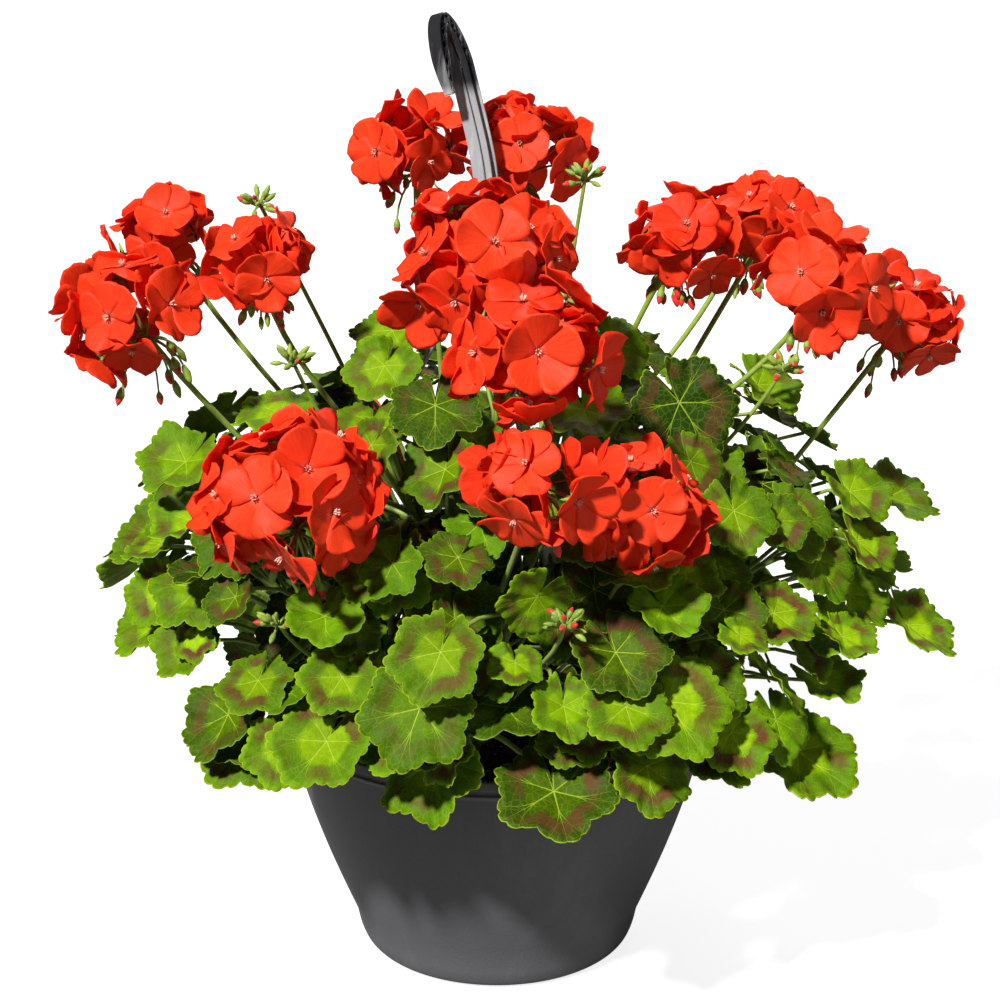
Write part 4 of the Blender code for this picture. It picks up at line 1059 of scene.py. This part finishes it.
def floretKind(number):
    rng = np.random.default_rng(200 + number)
    forms = ((0.14, 0.04), (0.04, 0.08), (0.26, 0.12), (-0.16, 0.20), (0.16, 0.42), (-0.06, 0.02), (0.2, 0.3))
    rise, open = forms[number]
    allPoints, allFaces, allUvs, allUnder, total = [], [], [], [], 0
    for k in range(5):
        spin = math.radians(72 * k) + rng.normal(0, 0.05)
        points, faces, uvs, under = petalShell(rng, spin, rise + rng.normal(0, 0.06),
                                               open + rng.normal(0, 0.05), number < 6)
        points[:, 2] -= 0.02 + 0.004 * k
        allPoints.append(points)
        allFaces += [[c + total for c in face] for face in faces]
        allUvs.append(uvs)
        allUnder.append(under)
        total += len(points)
    return kindObject("floretKind%d" % number, np.vstack(allPoints), allFaces, np.vstack(allUvs),
                      {"under": np.concatenate(allUnder)})


def turnedKind(name, profile, sides, blushAt):
    points, faces, blush = [(0, 0, profile[0][1])], [], [blushAt(0.0)]
    for k, (radius, height) in enumerate(profile[1:-1]):
        for i in range(sides):
            angle = 2 * math.pi * (i + 0.5 * (k % 2)) / sides
            points.append((radius * math.cos(angle), radius * math.sin(angle), height))
            blush.append(blushAt(height))
    points.append((0, 0, profile[-1][1]))
    blush.append(blushAt(profile[-1][1]))
    rows = len(profile) - 2
    last = len(points) - 1
    for i in range(sides):
        j = (i + 1) % sides
        faces.append([0, 1 + j, 1 + i])
        faces.append([last, 1 + (rows - 1) * sides + i, 1 + (rows - 1) * sides + j])
        for k in range(rows - 1):
            a, b = 1 + k * sides + i, 1 + k * sides + j
            faces += [[a, b, b + sides], [a, b + sides, a + sides]]
    uvs = [(0.5 + 30 * p[0], 0.5 + 30 * p[1]) for p in points]
    return kindObject(name, points, faces, uvs, {"blush": blush})


def budKind(number):
    # Pointed buds: all green, red at the tip, and about to open
    tip = (0.0, 0.9, 1.0)[number]
    girth = (0.20, 0.23, 0.26)[number]
    profile = ((0, 0), (0.10, 0.03), (girth * 0.85, 0.25), (girth, 0.45), (girth * 0.86, 0.68),
               (girth * 0.45, 0.88), (0, 1.0))
    start = (2.0, 0.62, 0.40)[number]
    return turnedKind("budKind%d" % number, profile, 7, lambda t: tip if t > start else 0.0)


def sepalKind():
    # The five-pointed calyx behind a floret, with its stamens in front
    points, faces, blush = [], [], []
    for k in range(5):
        turn = math.radians(72 * k + 36)
        out = np.array([math.cos(turn), math.sin(turn), 0])
        side = np.array([-math.sin(turn), math.cos(turn), 0])
        first = len(points)
        up = np.array([0, 0, 1])
        for p in (-up * 0.16, out * 0.10 - side * 0.09 - up * 0.10, out * 0.10 + side * 0.09 - up * 0.10,
                  out * 0.42 - up * 0.16, out * 0.10 - up * 0.03):
            points.append(p)
            blush.append(0.2)
        for face in ((0, 1, 3), (0, 3, 2), (1, 4, 3), (3, 4, 2), (0, 4, 1), (0, 2, 4)):
            faces.append([first + corner for corner in face])
    for k in range(6):
        turn = math.radians(60 * k + 10)
        lean = np.array([0.07 * math.cos(turn), 0.07 * math.sin(turn), 0.16 + 0.03 * (k % 2)])
        first = len(points)
        for i in range(3):
            angle = 2 * math.pi * i / 3
            points.append(np.array([0.016 * math.cos(angle), 0.016 * math.sin(angle), -0.02]))
            blush.append(1.3)
        for i in range(3):
            angle = 2 * math.pi * i / 3
            points.append(lean + np.array([0.024 * math.cos(angle), 0.024 * math.sin(angle), 0.0]))
            blush.append(1.6)
        points.append(lean + np.array([0, 0, 0.04]))
        blush.append(1.6)
        for i in range(3):
            j = (i + 1) % 3
            faces += [[first + i, first + j, first + 3 + j], [first + i, first + 3 + j, first + 3 + i],
                      [first + 3 + i, first + 3 + j, first + 6]]
        faces.append([first + 2, first + 1, first])
    uvs = [(0.5, 0.5)] * len(points)
    return kindObject("budKind3", points, faces, uvs, {"blush": blush})


def kindCollection(name, members):
    group = bpy.data.collections.new(name)
    for member in members:
        group.objects.link(member)
        spares.append(member)
    return group


leafKinds = kindCollection("leafKinds", [leafKind(n) for n in range(kindsOf["leaf"])])
floretKinds = kindCollection("floretKinds", [floretKind(n) for n in range(kindsOf["floret"])])
budKinds = kindCollection("budKinds", [budKind(n) for n in range(kindsOf["bud"])] + [sepalKind()])


# The tree that grows a piece from a sheet of lines and points
def growTree():
    # Lines become stalks, and points with a kind become leaves, florets or buds
    tree, entry, leave = newTree("growPiece", (("Kinds", "Collection", None), ("Sides", "Int", 7)))

    def named(label, kind):
        return put(tree, "GeometryNodeInputNamedAttribute", {"Name": label}, data_type=kind).outputs[0]

    lines = put(tree, "GeometryNodeMeshToCurve", {"Mesh": entry["Geometry"]})
    ring = put(tree, "GeometryNodeCurvePrimitiveCircle", {"Resolution": entry["Sides"], "Radius": 1.0})
    tube = put(tree, "GeometryNodeCurveToMesh", {"Curve": lines.outputs[0], "Profile Curve": ring.outputs[0],
                                                 "Scale": named("girth", "FLOAT"), "Fill Caps": True})
    kind = named("kind", "INT")
    chosen = put(tree, "FunctionNodeCompare", {2: kind, 3: 0}, data_type="INT", operation="GREATER_EQUAL")
    points = put(tree, "GeometryNodeMeshToPoints",
                 {"Mesh": entry["Geometry"], "Selection": chosen.outputs[0]})
    kinds = put(tree, "GeometryNodeCollectionInfo", {"Collection": entry["Kinds"], "Separate Children": True,
                                                     "Reset Children": True})
    turn = put(tree, "FunctionNodeEulerToRotation", {"Euler": named("turn", "FLOAT_VECTOR")})
    pieces = put(tree, "GeometryNodeInstanceOnPoints",
                 {"Points": points.outputs[0], "Instance": kinds.outputs[0], "Pick Instance": True,
                  "Instance Index": kind, "Rotation": turn.outputs[0],
                  "Scale": named("size", "FLOAT_VECTOR")})
    solid = put(tree, "GeometryNodeRealizeInstances", {"Geometry": pieces.outputs[0]})
    both = tree.nodes.new("GeometryNodeJoinGeometry")
    tree.links.new(tube.outputs[0], both.inputs[0])
    tree.links.new(solid.outputs[0], both.inputs[0])
    smooth = put(tree, "GeometryNodeSetShadeSmooth", {"Geometry": both.outputs[0]})
    final = put(tree, "GeometryNodeSetMaterial",
                {"Geometry": smooth.outputs[0], "Material": entry["Material"]})
    tree.links.new(final.outputs[0], leave["Geometry"])
    return tree


grow = growTree()


class Sheet:
    # Lines and placement points for one piece, with the numbers that each carries

    def __init__(self):
        self.points, self.edges = [], []
        self.numbers = {"girth": [], "kind": [], "tint": [], "tone": [], "blush": [], "zoned": []}
        self.turns, self.sizes = [], []

    def number(self, place, **values):
        self.points.append(place)
        for label, held in self.numbers.items():
            held.append(values.get(label, -1 if label == "kind" else 0.0))
        self.turns.append(values.get("turn", (0, 0, 0)))
        self.sizes.append(values.get("size", (1, 1, 1)))

    def line(self, path, girths, blushes=(0, 0), tone=0.0):
        first = len(self.points)
        for k, place in enumerate(path):
            share = k / (len(path) - 1)
            self.number(place, girth=float(np.interp(share, np.linspace(0, 1, len(girths)), girths)),
                        blush=float(np.interp(share, (0, 1), blushes)), tone=tone)
        self.edges += [(k, k + 1) for k in range(first, len(self.points) - 1)]

    def spot(self, place, axes, size, kind, **values):
        turn = Matrix(np.asarray(axes).T.tolist()).to_euler("XYZ")
        self.number(place, turn=tuple(turn), size=(size,) * 3, kind=kind, **values)

    def grown(self, name, kinds, material, sides=7):
        mesh = newMesh(name, self.points, [], self.edges)
        for label, values in self.numbers.items():
            kind = "INT" if label == "kind" else "FLOAT"
            mesh.attributes.new(label, kind, "POINT").data.foreach_set("value", values)
        for label, values in (("turn", self.turns), ("size", self.sizes)):
            data = mesh.attributes.new(label, "FLOAT_VECTOR", "POINT").data
            data.foreach_set("vector", np.asarray(values, float).ravel())
        made = runTree(name + "_lines", mesh, grow, {"Kinds": kinds, "Sides": sides, "Material": material})
        for label in ("girth", "kind", "turn", "size"):
            if label in made.attributes:
                made.attributes.remove(made.attributes[label])
        made.name = name
        return made


def budCluster(sheet, base, axis, count, reach, size, rng, kinds=(0, 1), droop=0.9):
    side = unit(np.cross(axis, [0.3, 0.2, 1.0]))
    third = np.cross(axis, side)
    for i in range(count):
        turn = 2.4 * i + rng.uniform(-0.3, 0.3)
        out = unit(math.cos(turn) * side + math.sin(turn) * third + axis * rng.uniform(-0.2, 1.6))
        length = reach * rng.uniform(0.7, 1.15)
        end = base + out * length * 0.8 + np.array([0, 0, -droop * length * rng.uniform(0.1, 0.5)])
        path = bezier((base, base + out * length * 0.7, end), 4)
        way = unit(out * 0.8 + np.array([0, 0, -droop]) + rng.normal(0, 0.15, 3))
        sheet.line(path, (0.0007, 0.0006), (0.1, 0.25))
        sheet.spot(path[-1], faceAxes(way, side + 0.1), size * rng.uniform(0.75, 1.15),
                   int(rng.choice(kinds)))


# How the plant is dressed: means and spreads of the leaves' zone and tone, the painted shade that darkens
# leaves deep inside the mound, and the buds' sizes
dressing = {"zone": 0.48, "zoneLow": 0.46, "zoneSpread": 0.28, "tint": 0.48, "tintLow": -0.30,
            "tintSpread": 0.24, "innerPaintedShade": 2.0, "innerFrom": 0.92, "heights": (0.18, 0.36),
            "clusterBuds": 17, "clusterReach": 0.0075, "clusterBud": 0.0078, "hangingReach": 0.025,
            "hangingBud": 0.0098, "budStalk": (0.0014, 0.0011), "pedicel": (0.0007, 0.0006, 0.0009),
            "floretOdds": (0.24, 0.2, 0.2, 0.16, 0.10, 0.10), "innerKind": 6}


# Leafy stems: blades in one piece, stalks and buds in another
rng = np.random.default_rng(extras["seed"] + 1)
stemSheets = [(Sheet(), Sheet()) for _ in stems]
sheetOf = {"stem_%02d" % (k + 1): pair for k, pair in enumerate(stemSheets)}
for k, azimuth in enumerate(plant["outerStems"] + plant["innerStems"]):
    path = stemPath(azimuth, k >= len(plant["outerStems"]), 14)
    knots = 1 + 0.10 * np.sin(np.arange(16) * 2.1)
    stemSheets[k][1].line(path, list(plant["stemRadius"] * np.linspace(1.0, 0.72, 16) * knots), (0, 0), 0.85)
for leaf in leaves:
    blades, holders = sheetOf[leaf["node"]]
    depth = np.linalg.norm((leaf["origin"] - [0, 0, plant["moundHeight"]]) / np.array(plant["mound"]))
    kind = min(int(leaf["phase"] / 0.75), kindsOf["leaf"] - 1)
    low = float(np.interp(leaf["origin"][2], dressing["heights"], (1.0, 0.0)))
    zoned = rng.normal(dressing["zone"] + dressing["zoneLow"] * low, dressing["zoneSpread"])
    zoned = float(np.clip(zoned, 0.08, 1.0))
    # Each leaf's random tone, lighter low down, plus painted shade that darkens the leaves deep inside the
    # mound
    tint = rng.normal(dressing["tint"] + dressing["tintLow"] * low, dressing["tintSpread"])
    tint = float(np.clip(tint + dressing["innerPaintedShade"] * max(0.0, dressing["innerFrom"] - depth), 0, 1))
    blades.spot(leaf["origin"], leaf["axes"], leaf["size"], kind, tint=tint, zoned=zoned)
    path = bezier(leaf["bends"], 9)
    path[-1] -= leaf["axes"][2] * leaf["size"] * 0.012
    girth = plant["petioleRadius"] * (0.6 + 14 * leaf["size"])
    holders.line(path, (girth * 1.15, girth * 0.85, girth * 0.8), (0.05, 0.0), 0.15)
for stalk in stalks:
    path = np.vstack([bezier(stalk["bends"], 12), stalk["end"]])
    girth = plant["stalkRadius"]
    sheetOf[stalk["node"]][1].line(path, (girth * 1.1, girth * 0.85, girth * 0.95), (0.0, 0.12), 0.1)
for cluster in buds:
    holders = sheetOf[cluster["node"]][1]
    holders.line(bezier(cluster["bends"], 10), dressing["budStalk"])
    budCluster(holders, cluster["spot"] - [0, 0, 0.003], np.array([0, 0, 1.0]), dressing["clusterBuds"],
               dressing["clusterReach"], dressing["clusterBud"], rng, (0, 0, 0, 1), 0.15)
for k, (blades, holders) in enumerate(stemSheets):
    node = "stem_%02d" % (k + 1)
    newPiece("leaves_%02d" % (k + 1), blades.grown("leaves", leafKinds, leafBlade), "leaf_green", node)
    newPiece("stalks_%02d" % (k + 1), holders.grown("stalks", budKinds, stalkSkin, 8), "leaf_green", node)
print("stems grown")

# Flower heads: petals in one piece, their stalks, calyxes and buds in another
for head in heads:
    petals, green = Sheet(), Sheet()
    foot = head["centre"] - head["axis"] * plant["coreFoot"] * head["size"]
    for floret in head["florets"]:
        axes, radius = floret["axes"], floret["radius"]
        spun = Matrix.Rotation(math.radians(floret["spin"]), 3, "Z")
        turned = np.array(spun.transposed()) @ axes
        kind = dressing["innerKind"]
        if "inner" not in floret:
            kind = int(rng.choice(len(dressing["floretOdds"]), p=dressing["floretOdds"]))
        petals.spot(floret["origin"], turned, radius, kind, tint=float(np.clip(rng.normal(0.3, 0.25), 0, 1)))
        if "inner" in floret:
            continue
        green.spot(floret["origin"] - axes[2] * 0.0008, turned, radius * 0.95, 3)
        inward = floret["origin"] - axes[2] * 0.010 * head["size"]
        path = bezier((foot, foot + head["axis"] * 0.006, inward, floret["origin"] - axes[2] * 0.0022), 7)
        green.line(path, dressing["pedicel"], (0.30, 0.55), 0.1)
    budCluster(green, foot, head["axis"] * 0.2 - [0, 0, 0.5], extras["budsPerHead"],
               dressing["hangingReach"] * head["size"], dressing["hangingBud"], rng, (0, 1, 1, 2), 1.4)
    name, node = head["name"], head["node"]
    newPiece("petals_" + name, petals.grown("petals", floretKinds, petalSkin), "petal_red", node)
    newPiece("calyx_" + name, green.grown("calyx", budKinds, stalkSkin, 6), "leaf_green", node)
print("heads grown")


# Pot
def lathe(name, profile, sides):
    points, rows = [], []
    for radius, height in profile:
        if radius == 0:
            rows.append([len(points)] * sides)
            points.append((0, 0, height))
            continue
        rows.append(list(range(len(points), len(points) + sides)))
        points += [tuple(polar(360 * i / sides, radius, height)) for i in range(sides)]
    faces = []
    for upper, lower in zip(rows, rows[1:] + rows[:1]):
        for i in range(sides):
            j = (i + 1) % sides
            corners = [upper[i], lower[i], lower[j], upper[j]]
            corners = [c for n, c in enumerate(corners) if c not in corners[:n]]
            if len(corners) > 2:
                faces.append(corners)
    return facesOut(newMesh(name, points, faces))


def rounded(points, radius, steps=4):
    # The same profile with each inner corner rounded
    made = [points[0]]
    for before, corner, after in zip(points[:-2], points[1:-1], points[2:]):
        corner = np.array(corner, float)
        reach = [np.array(p, float) - corner for p in (before, after)]
        cut = [min(radius, np.linalg.norm(r) * 0.45) for r in reach]
        ends = [corner + unit(r) * c for r, c in zip(reach, cut)]
        made += [tuple(p) for p in bezier((ends[0], corner, ends[1]), steps)]
    return made + [points[-1]]


def insideProfile(steps):
    wall = bezier((potShape["footCorner"], potShape["wallBulge"], potShape["wallTop"]), steps)
    profile = [(potShape["footRadius"], potShape["floor"])] + [(p[0] - potShape["wall"], p[1]) for p in wall]
    return profile + [(0.1215, 0.1425), (0.1222, potShape["height"] - 0.0012)]


def makePot():
    # Lip, groove, bead and curved wall, with the drainage holes
    height, rim = potShape["height"], potShape["rimRadius"]
    wall = bezier((potShape["wallTop"], potShape["wallBulge"], potShape["footCorner"]), 16)
    rimSide = rounded([(0.1222, height - 0.0012), (0.1236, height), (rim - 0.0006, height - 0.0004),
                       (rim, 0.1460), (0.1252, 0.1452), (0.1256, 0.1432), (0.1268, 0.1424),
                       (0.1256, 0.1402), potShape["wallTop"]], 0.0007)
    foot = rounded([potShape["footCorner"], (0.0822, 0.0095), (0.0795, 0.0028),
                    (potShape["footRadius"], 0.0), (0, 0.0)], 0.003)
    profile = [(0, potShape["floor"])] + insideProfile(14)[:-1] + rimSide[:-1]
    profile += [tuple(p) for p in wall] + foot[1:]
    mesh = lathe("pot_wall", profile, potShape["sides"])
    pot = bpy.data.objects.new("potDraft", mesh)
    scene.collection.objects.link(pot)
    drills = bpy.data.collections.new("drills")
    for k in range(potShape["drainHoles"]):
        spot = polar(360 * k / potShape["drainHoles"], potShape["drainCircle"])
        reach = 2 * potShape["floor"]
        drill = lathe("drill", [(0, reach), (potShape["drainRadius"], reach),
                                (potShape["drainRadius"], -reach), (0, -reach)], 24)
        drill.transform(Matrix.Translation(spot))
        helper = bpy.data.objects.new("drill%d" % k, drill)
        drills.objects.link(helper)
        spares.append(helper)
    bore = pot.modifiers.new("Bore", "BOOLEAN")
    bore.operation, bore.operand_type, bore.collection = "DIFFERENCE", "COLLECTION", drills
    made = takeMesh(pot)
    made.shade_smooth()
    made.set_sharp_from_angle(angle=math.radians(40))
    made.materials.clear()
    return made


newPiece("pot_wall", makePot(), "pot_plastic", "pot", material=potPlastic)


# Soil, with crumbs of bark and perlite on it
# Crumbs for each square metre, smallest and largest radius, seed
crumbs = {"bark": (26000.0, 0.0010, 0.0028, 5), "perlite": (5200.0, 0.0009, 0.0019, 8)}


def makeSoil():
    inside = insideProfile(14)
    low, high = [[p for p in inside if (p[1] < soilShape["top"]) == under] for under in (True, False)]
    share = (soilShape["top"] - low[-1][1]) / (high[0][1] - low[-1][1])
    edge = low[-1][0] + (high[0][0] - low[-1][0]) * share
    gap = soilShape["seatGap"]
    side = [(r - gap * 1.5, max(z, potShape["floor"] + gap)) for r, z in low + [(edge, soilShape["top"])]]
    top = [(edge * s, soilShape["top"] + soilShape["crown"] * (1 - s * s)) for s in np.linspace(0, 0.985, 26)]
    mesh = lathe("soil_mix", [(0, top[0][1])] + top[1:] + side[::-1] + [(0, potShape["floor"] + gap)], 96)
    lumps = np.random.default_rng(extras["seed"] + 2)
    for vertex in mesh.vertices:
        if vertex.co.z > soilShape["top"] + 0.0001:
            vertex.co.z += lumps.uniform(-0.0009, 0.0012)
    mesh.shade_smooth()
    return mesh


def crumbTree():
    tree, entry, leave = newTree("scatterCrumbs", (("Density", "Float", 9000.0), ("Smallest", "Float", 0.001),
                                                   ("Largest", "Float", 0.002), ("Seed", "Int", 1)))
    height = put(tree, "ShaderNodeSeparateXYZ",
                 {0: tree.nodes.new("GeometryNodeInputPosition").outputs[0]}).outputs[2]
    onTop = put(tree, "FunctionNodeCompare", {0: height, 1: soilShape["top"] - 0.0005},
                operation="GREATER_THAN")
    spots = put(tree, "GeometryNodeDistributePointsOnFaces",
                {"Mesh": entry["Geometry"], "Selection": onTop.outputs[0], "Density": entry["Density"],
                 "Seed": entry["Seed"]})
    crumb = put(tree, "GeometryNodeMeshIcoSphere", {"Radius": 1.0, "Subdivisions": 1})
    size = put(tree, "FunctionNodeRandomValue",
               {2: entry["Smallest"], 3: entry["Largest"], "Seed": entry["Seed"]})
    squat = put(tree, "FunctionNodeRandomValue", {2: 0.5, 3: 1.0, "Seed": 3})
    scale = put(tree, "ShaderNodeCombineXYZ", {0: size.outputs[1],
                                               1: calc(tree, "MULTIPLY", size.outputs[1], 0.75),
                                               2: calc(tree, "MULTIPLY", size.outputs[1], squat.outputs[1])})
    turn = put(tree, "FunctionNodeRandomValue", {1: (6.28, 6.28, 6.28), "Seed": 9}, data_type="FLOAT_VECTOR")
    pieces = put(tree, "GeometryNodeInstanceOnPoints",
                 {"Points": spots.outputs[0], "Instance": crumb.outputs[0],
                  "Rotation": turn.outputs[0], "Scale": scale.outputs[0]})
    solid = put(tree, "GeometryNodeRealizeInstances", {"Geometry": pieces.outputs[0]})
    final = put(tree, "GeometryNodeSetMaterial",
                {"Geometry": solid.outputs[0], "Material": entry["Material"]})
    tree.links.new(final.outputs[0], leave["Geometry"])
    return tree


soilMesh = makeSoil()
scatter = crumbTree()
for name, material in (("bark", barkCrumb), ("perlite", perliteCrumb)):
    density, smallest, largest, seed = crumbs[name]
    mesh = runTree(name + "Draft", soilMesh.copy(), scatter,
                   {"Density": density, "Smallest": smallest, "Largest": largest, "Seed": seed,
                    "Material": material})
    newPiece(name + "_crumbs", mesh, "potting_soil", "soil")
newPiece("soil_mix", soilMesh, "potting_soil", "soil", material=pottingMix)
print("pot and soil made")


# Hanger: two flanges with a lattice between them in the hook and shank, then three strips
def sweptBand(path, sides, outs, lefts, rights, tops, bottoms):
    # A band along a path with softened edges. Each measure is one number, or one for each point
    spans = zip(path, sides, outs, *[np.broadcast_to(v, len(path)) for v in (lefts, rights, tops, bottoms)])
    points, faces, count = [], [], 8
    for place, side, out, left, right, top, bottom in spans:
        soft = 0.3 * min(right - left, top - bottom)
        outline = [(left + soft, top), (right - soft, top), (right, top - soft), (right, bottom + soft),
                   (right - soft, bottom), (left + soft, bottom), (left, bottom + soft), (left, top - soft)]
        points += [place + side * x + out * y for x, y in outline]
    for k in range(len(path) - 1):
        for i in range(count):
            a, b = k * count + i, k * count + (i + 1) % count
            faces.append([a, b, b + count, a + count])
    last = (len(path) - 1) * count
    faces += [list(range(count))[::-1], list(range(last, last + count))]
    return points, faces


def bar(start, end, side, width, thick):
    way = unit(end - start)
    across = unit(np.cross(way, side))
    points = []
    for place in (start, end):
        for a, b in ((-1, -1), (1, -1), (1, 1), (-1, 1)):
            points.append(place + side * a * width / 2 + across * b * thick / 2)
    return points, [[0, 1, 2, 3], [7, 6, 5, 4], [0, 4, 5, 1], [1, 5, 6, 2], [2, 6, 7, 3], [3, 7, 4, 0]]


def hookPath(toward, up, steps):
    top = np.array(hangerShape["shankTop"])
    split = np.array(hangerShape["split"])
    shank = bezier((split - [0, 0, 0.006], split + [0, 0, 0.016], hangerShape["shankMiddle"],
                    top - up * 0.012, top), 16)
    middle = top + toward * hangerShape["hookReach"]
    loop = []
    for k in range(1, steps + 1):
        turn = math.radians(180 - hangerShape["hookSweep"] * k / steps)
        loop.append(middle + hangerShape["hookReach"] * math.cos(turn) * toward
                    + hangerShape["hookRise"] * math.sin(turn) * up)
    return np.vstack([shank, loop]), len(shank)


def framesAlong(path, side):
    found = []
    for tangent in np.gradient(path, axis=0):
        tangent = unit(tangent)
        side = unit(np.asarray(side, float) - tangent * np.dot(side, tangent))
        found.append((side, np.cross(side, tangent)))
    return zip(*found)


def makeHanger():
    tilt, steps = math.radians(hangerShape["hookTilt"]), hangerShape["hookSteps"]
    toward = polar(hangerShape["hookAzimuth"])
    up = math.cos(tilt) * np.array([0, 0, 1]) - math.sin(tilt) * polar(hangerShape["hookAzimuth"] + 90)
    path, start = hookPath(toward, up, steps)
    sides, inwards = framesAlong(path, np.cross(up, toward))
    outs = [-way for way in inwards]
    wide, thick, depth = hangerShape["strapWidth"], hangerShape["strapThick"], hangerShape["ribDepth"]
    flange, jump = hangerShape["flange"], hangerShape["braceStep"]
    share = np.clip((np.arange(len(path)) - start + 1) / steps, 0, 1)
    narrowing = (wide, hangerShape["hookWidth"], hangerShape["hookWidth"], hangerShape["tipWidth"])
    half = np.interp(share, (0, 0.3, 0.8, 1), narrowing) / 2
    depths = np.interp(share, (0, 0.8, 1), (depth, depth, hangerShape["tipRibDepth"]))
    # The shank's front is two flanges with a groove between them, and they close up in the hook
    grooveLeft, grooveWidth = [np.interp(share, (0, 0.25), (size, 0.0)) for size in hangerShape["groove"]]
    fronts, web, brace = flange - depths, hangerShape["web"] / 2, hangerShape["brace"]
    shapes = [sweptBand(path, sides, outs, -half, half, thick, thick * 0.25),
              sweptBand(path, sides, outs, -half, grooveLeft, fronts, -depths),
              sweptBand(path, sides, outs, grooveLeft + grooveWidth, half, fronts, -depths),
              sweptBand(path, sides, outs, -web, web, 0.001, -depths + 0.0004)]
    upper = [p + o * (thick * 0.4) for p, o in zip(path, outs)]
    lower = [p - o * (d - 0.0008) for p, o, d in zip(path, outs, depths)]
    for k in range(start - 2, len(path) - jump, jump):
        shapes.append(bar(upper[k], lower[k + jump], sides[k], half[k] * 1.8, brace))
        shapes.append(bar(lower[k], upper[k + jump], sides[k], half[k] * 1.8, brace))
    tip = len(path) - 1
    shapes.append(bar(upper[tip] + outs[tip] * 0.001, lower[tip] - outs[tip] * 0.0006, sides[tip],
                      half[tip] * 2, 0.0018))
    for azimuth in hangerShape["armAzimuths"]:
        route = armPath(azimuth, 40)
        armSides, armOuts = framesAlong(route, polar(azimuth + 90))
        edge, rise = hangerShape["armWidth"] / 2, hangerShape["armThick"] / 2
        shapes.append(sweptBand(route, armSides, armOuts, -edge, edge, rise * 0.5, -rise * 0.7))
        shapes.append(sweptBand(route, armSides, armOuts, -edge, -edge * 0.5, rise, -rise))
        shapes.append(sweptBand(route, armSides, armOuts, edge * 0.5, edge, rise, -rise))
        shapes.append(clipShape(azimuth))
    points, faces = [], []
    for somePoints, someFaces in shapes:
        faces += [[c + len(points) for c in face] for face in someFaces]
        points += somePoints
    mesh = facesOut(newMesh("hanger_strap", points, faces))
    mesh.shade_smooth()
    mesh.set_sharp_from_angle(angle=math.radians(35))
    return mesh


def clipShape(azimuth):
    inner, outer = hangerShape["clipInside"], potShape["rimRadius"] + hangerShape["clipPlay"]
    low, wall = hangerShape["clipFoot"], hangerShape["clipWall"]
    top = potShape["height"] + soilShape["seatGap"]
    soft = 0.0006
    outline = [(inner - wall, low), (inner, low), (inner, top), (outer, top), (outer, low - 0.0012),
               (outer + wall * 0.6, low - 0.0018), (outer + wall, low), (outer + wall, top + wall - soft),
               (outer + wall - soft, top + wall), (inner - wall + soft, top + wall),
               (inner - wall, top + wall - soft)]
    across = polar(azimuth + 90)
    points = []
    for side in (-0.5, 0.5):
        points += [polar(azimuth, r, z) + across * side * hangerShape["clipWidth"] for r, z in outline]
    count = len(outline)
    faces = [list(range(count)), list(range(count, 2 * count))[::-1]]
    faces += [[i, i + count, (i + 1) % count + count, (i + 1) % count] for i in range(count)]
    return points, faces


newPiece("hanger_strap", makeHanger(), "hanger_plastic", "hanger", material=hangerPlastic)
print("hanger made")


# Floor and world
floorMesh = newMesh("floor", [(-6, -6, 0), (6, -6, 0), (6, 6, 0), (-6, 6, 0)], [[0, 1, 2, 3]])
floor = bpy.data.objects.new("floor", floorMesh)
scene.collection.objects.link(floor)
floor.location.z = -0.0005
floorPaint, tree, shader = newMaterial("floorPaint", 0.85)
tone = studio["floorTone"]
shader.inputs["Base Color"].default_value = (tone, tone, tone, 1)
shader.inputs["Emission Color"].default_value = (1, 1, 1, 1)
shader.inputs["Emission Strength"].default_value = studio["floorGlow"]
dim = studio["floorBounce"]
dimmer = put(tree, "ShaderNodeBsdfDiffuse", {"Color": (dim, dim, dim, 1)})
straight = put(tree, "ShaderNodeLightPath").outputs["Is Camera Ray"]
soft = put(tree, "ShaderNodeMixShader", {0: straight, 1: dimmer.outputs[0], 2: shader.outputs[0]})
tree.links.new(soft.outputs[0], tree.nodes["Material Output"].inputs["Surface"])
floorMesh.materials.append(floorPaint)

world = bpy.data.worlds.new("studioWhite")
world.use_nodes = True
background = world.node_tree.nodes["Background"]
background.inputs["Color"].default_value = (1, 1, 1, 1)
background.inputs["Strength"].default_value = studio["worldLight"]
seen = put(world.node_tree, "ShaderNodeBackground", {"Color": (1, 1, 1, 1), "Strength": 1.0})
path = put(world.node_tree, "ShaderNodeLightPath")
choice = put(world.node_tree, "ShaderNodeMixShader",
             {0: path.outputs["Is Camera Ray"], 1: background.outputs[0], 2: seen.outputs[0]})
world.node_tree.links.new(choice.outputs[0], world.node_tree.nodes["World Output"].inputs["Surface"])
scene.world = world

for spare in spares:
    bpy.data.objects.remove(spare)
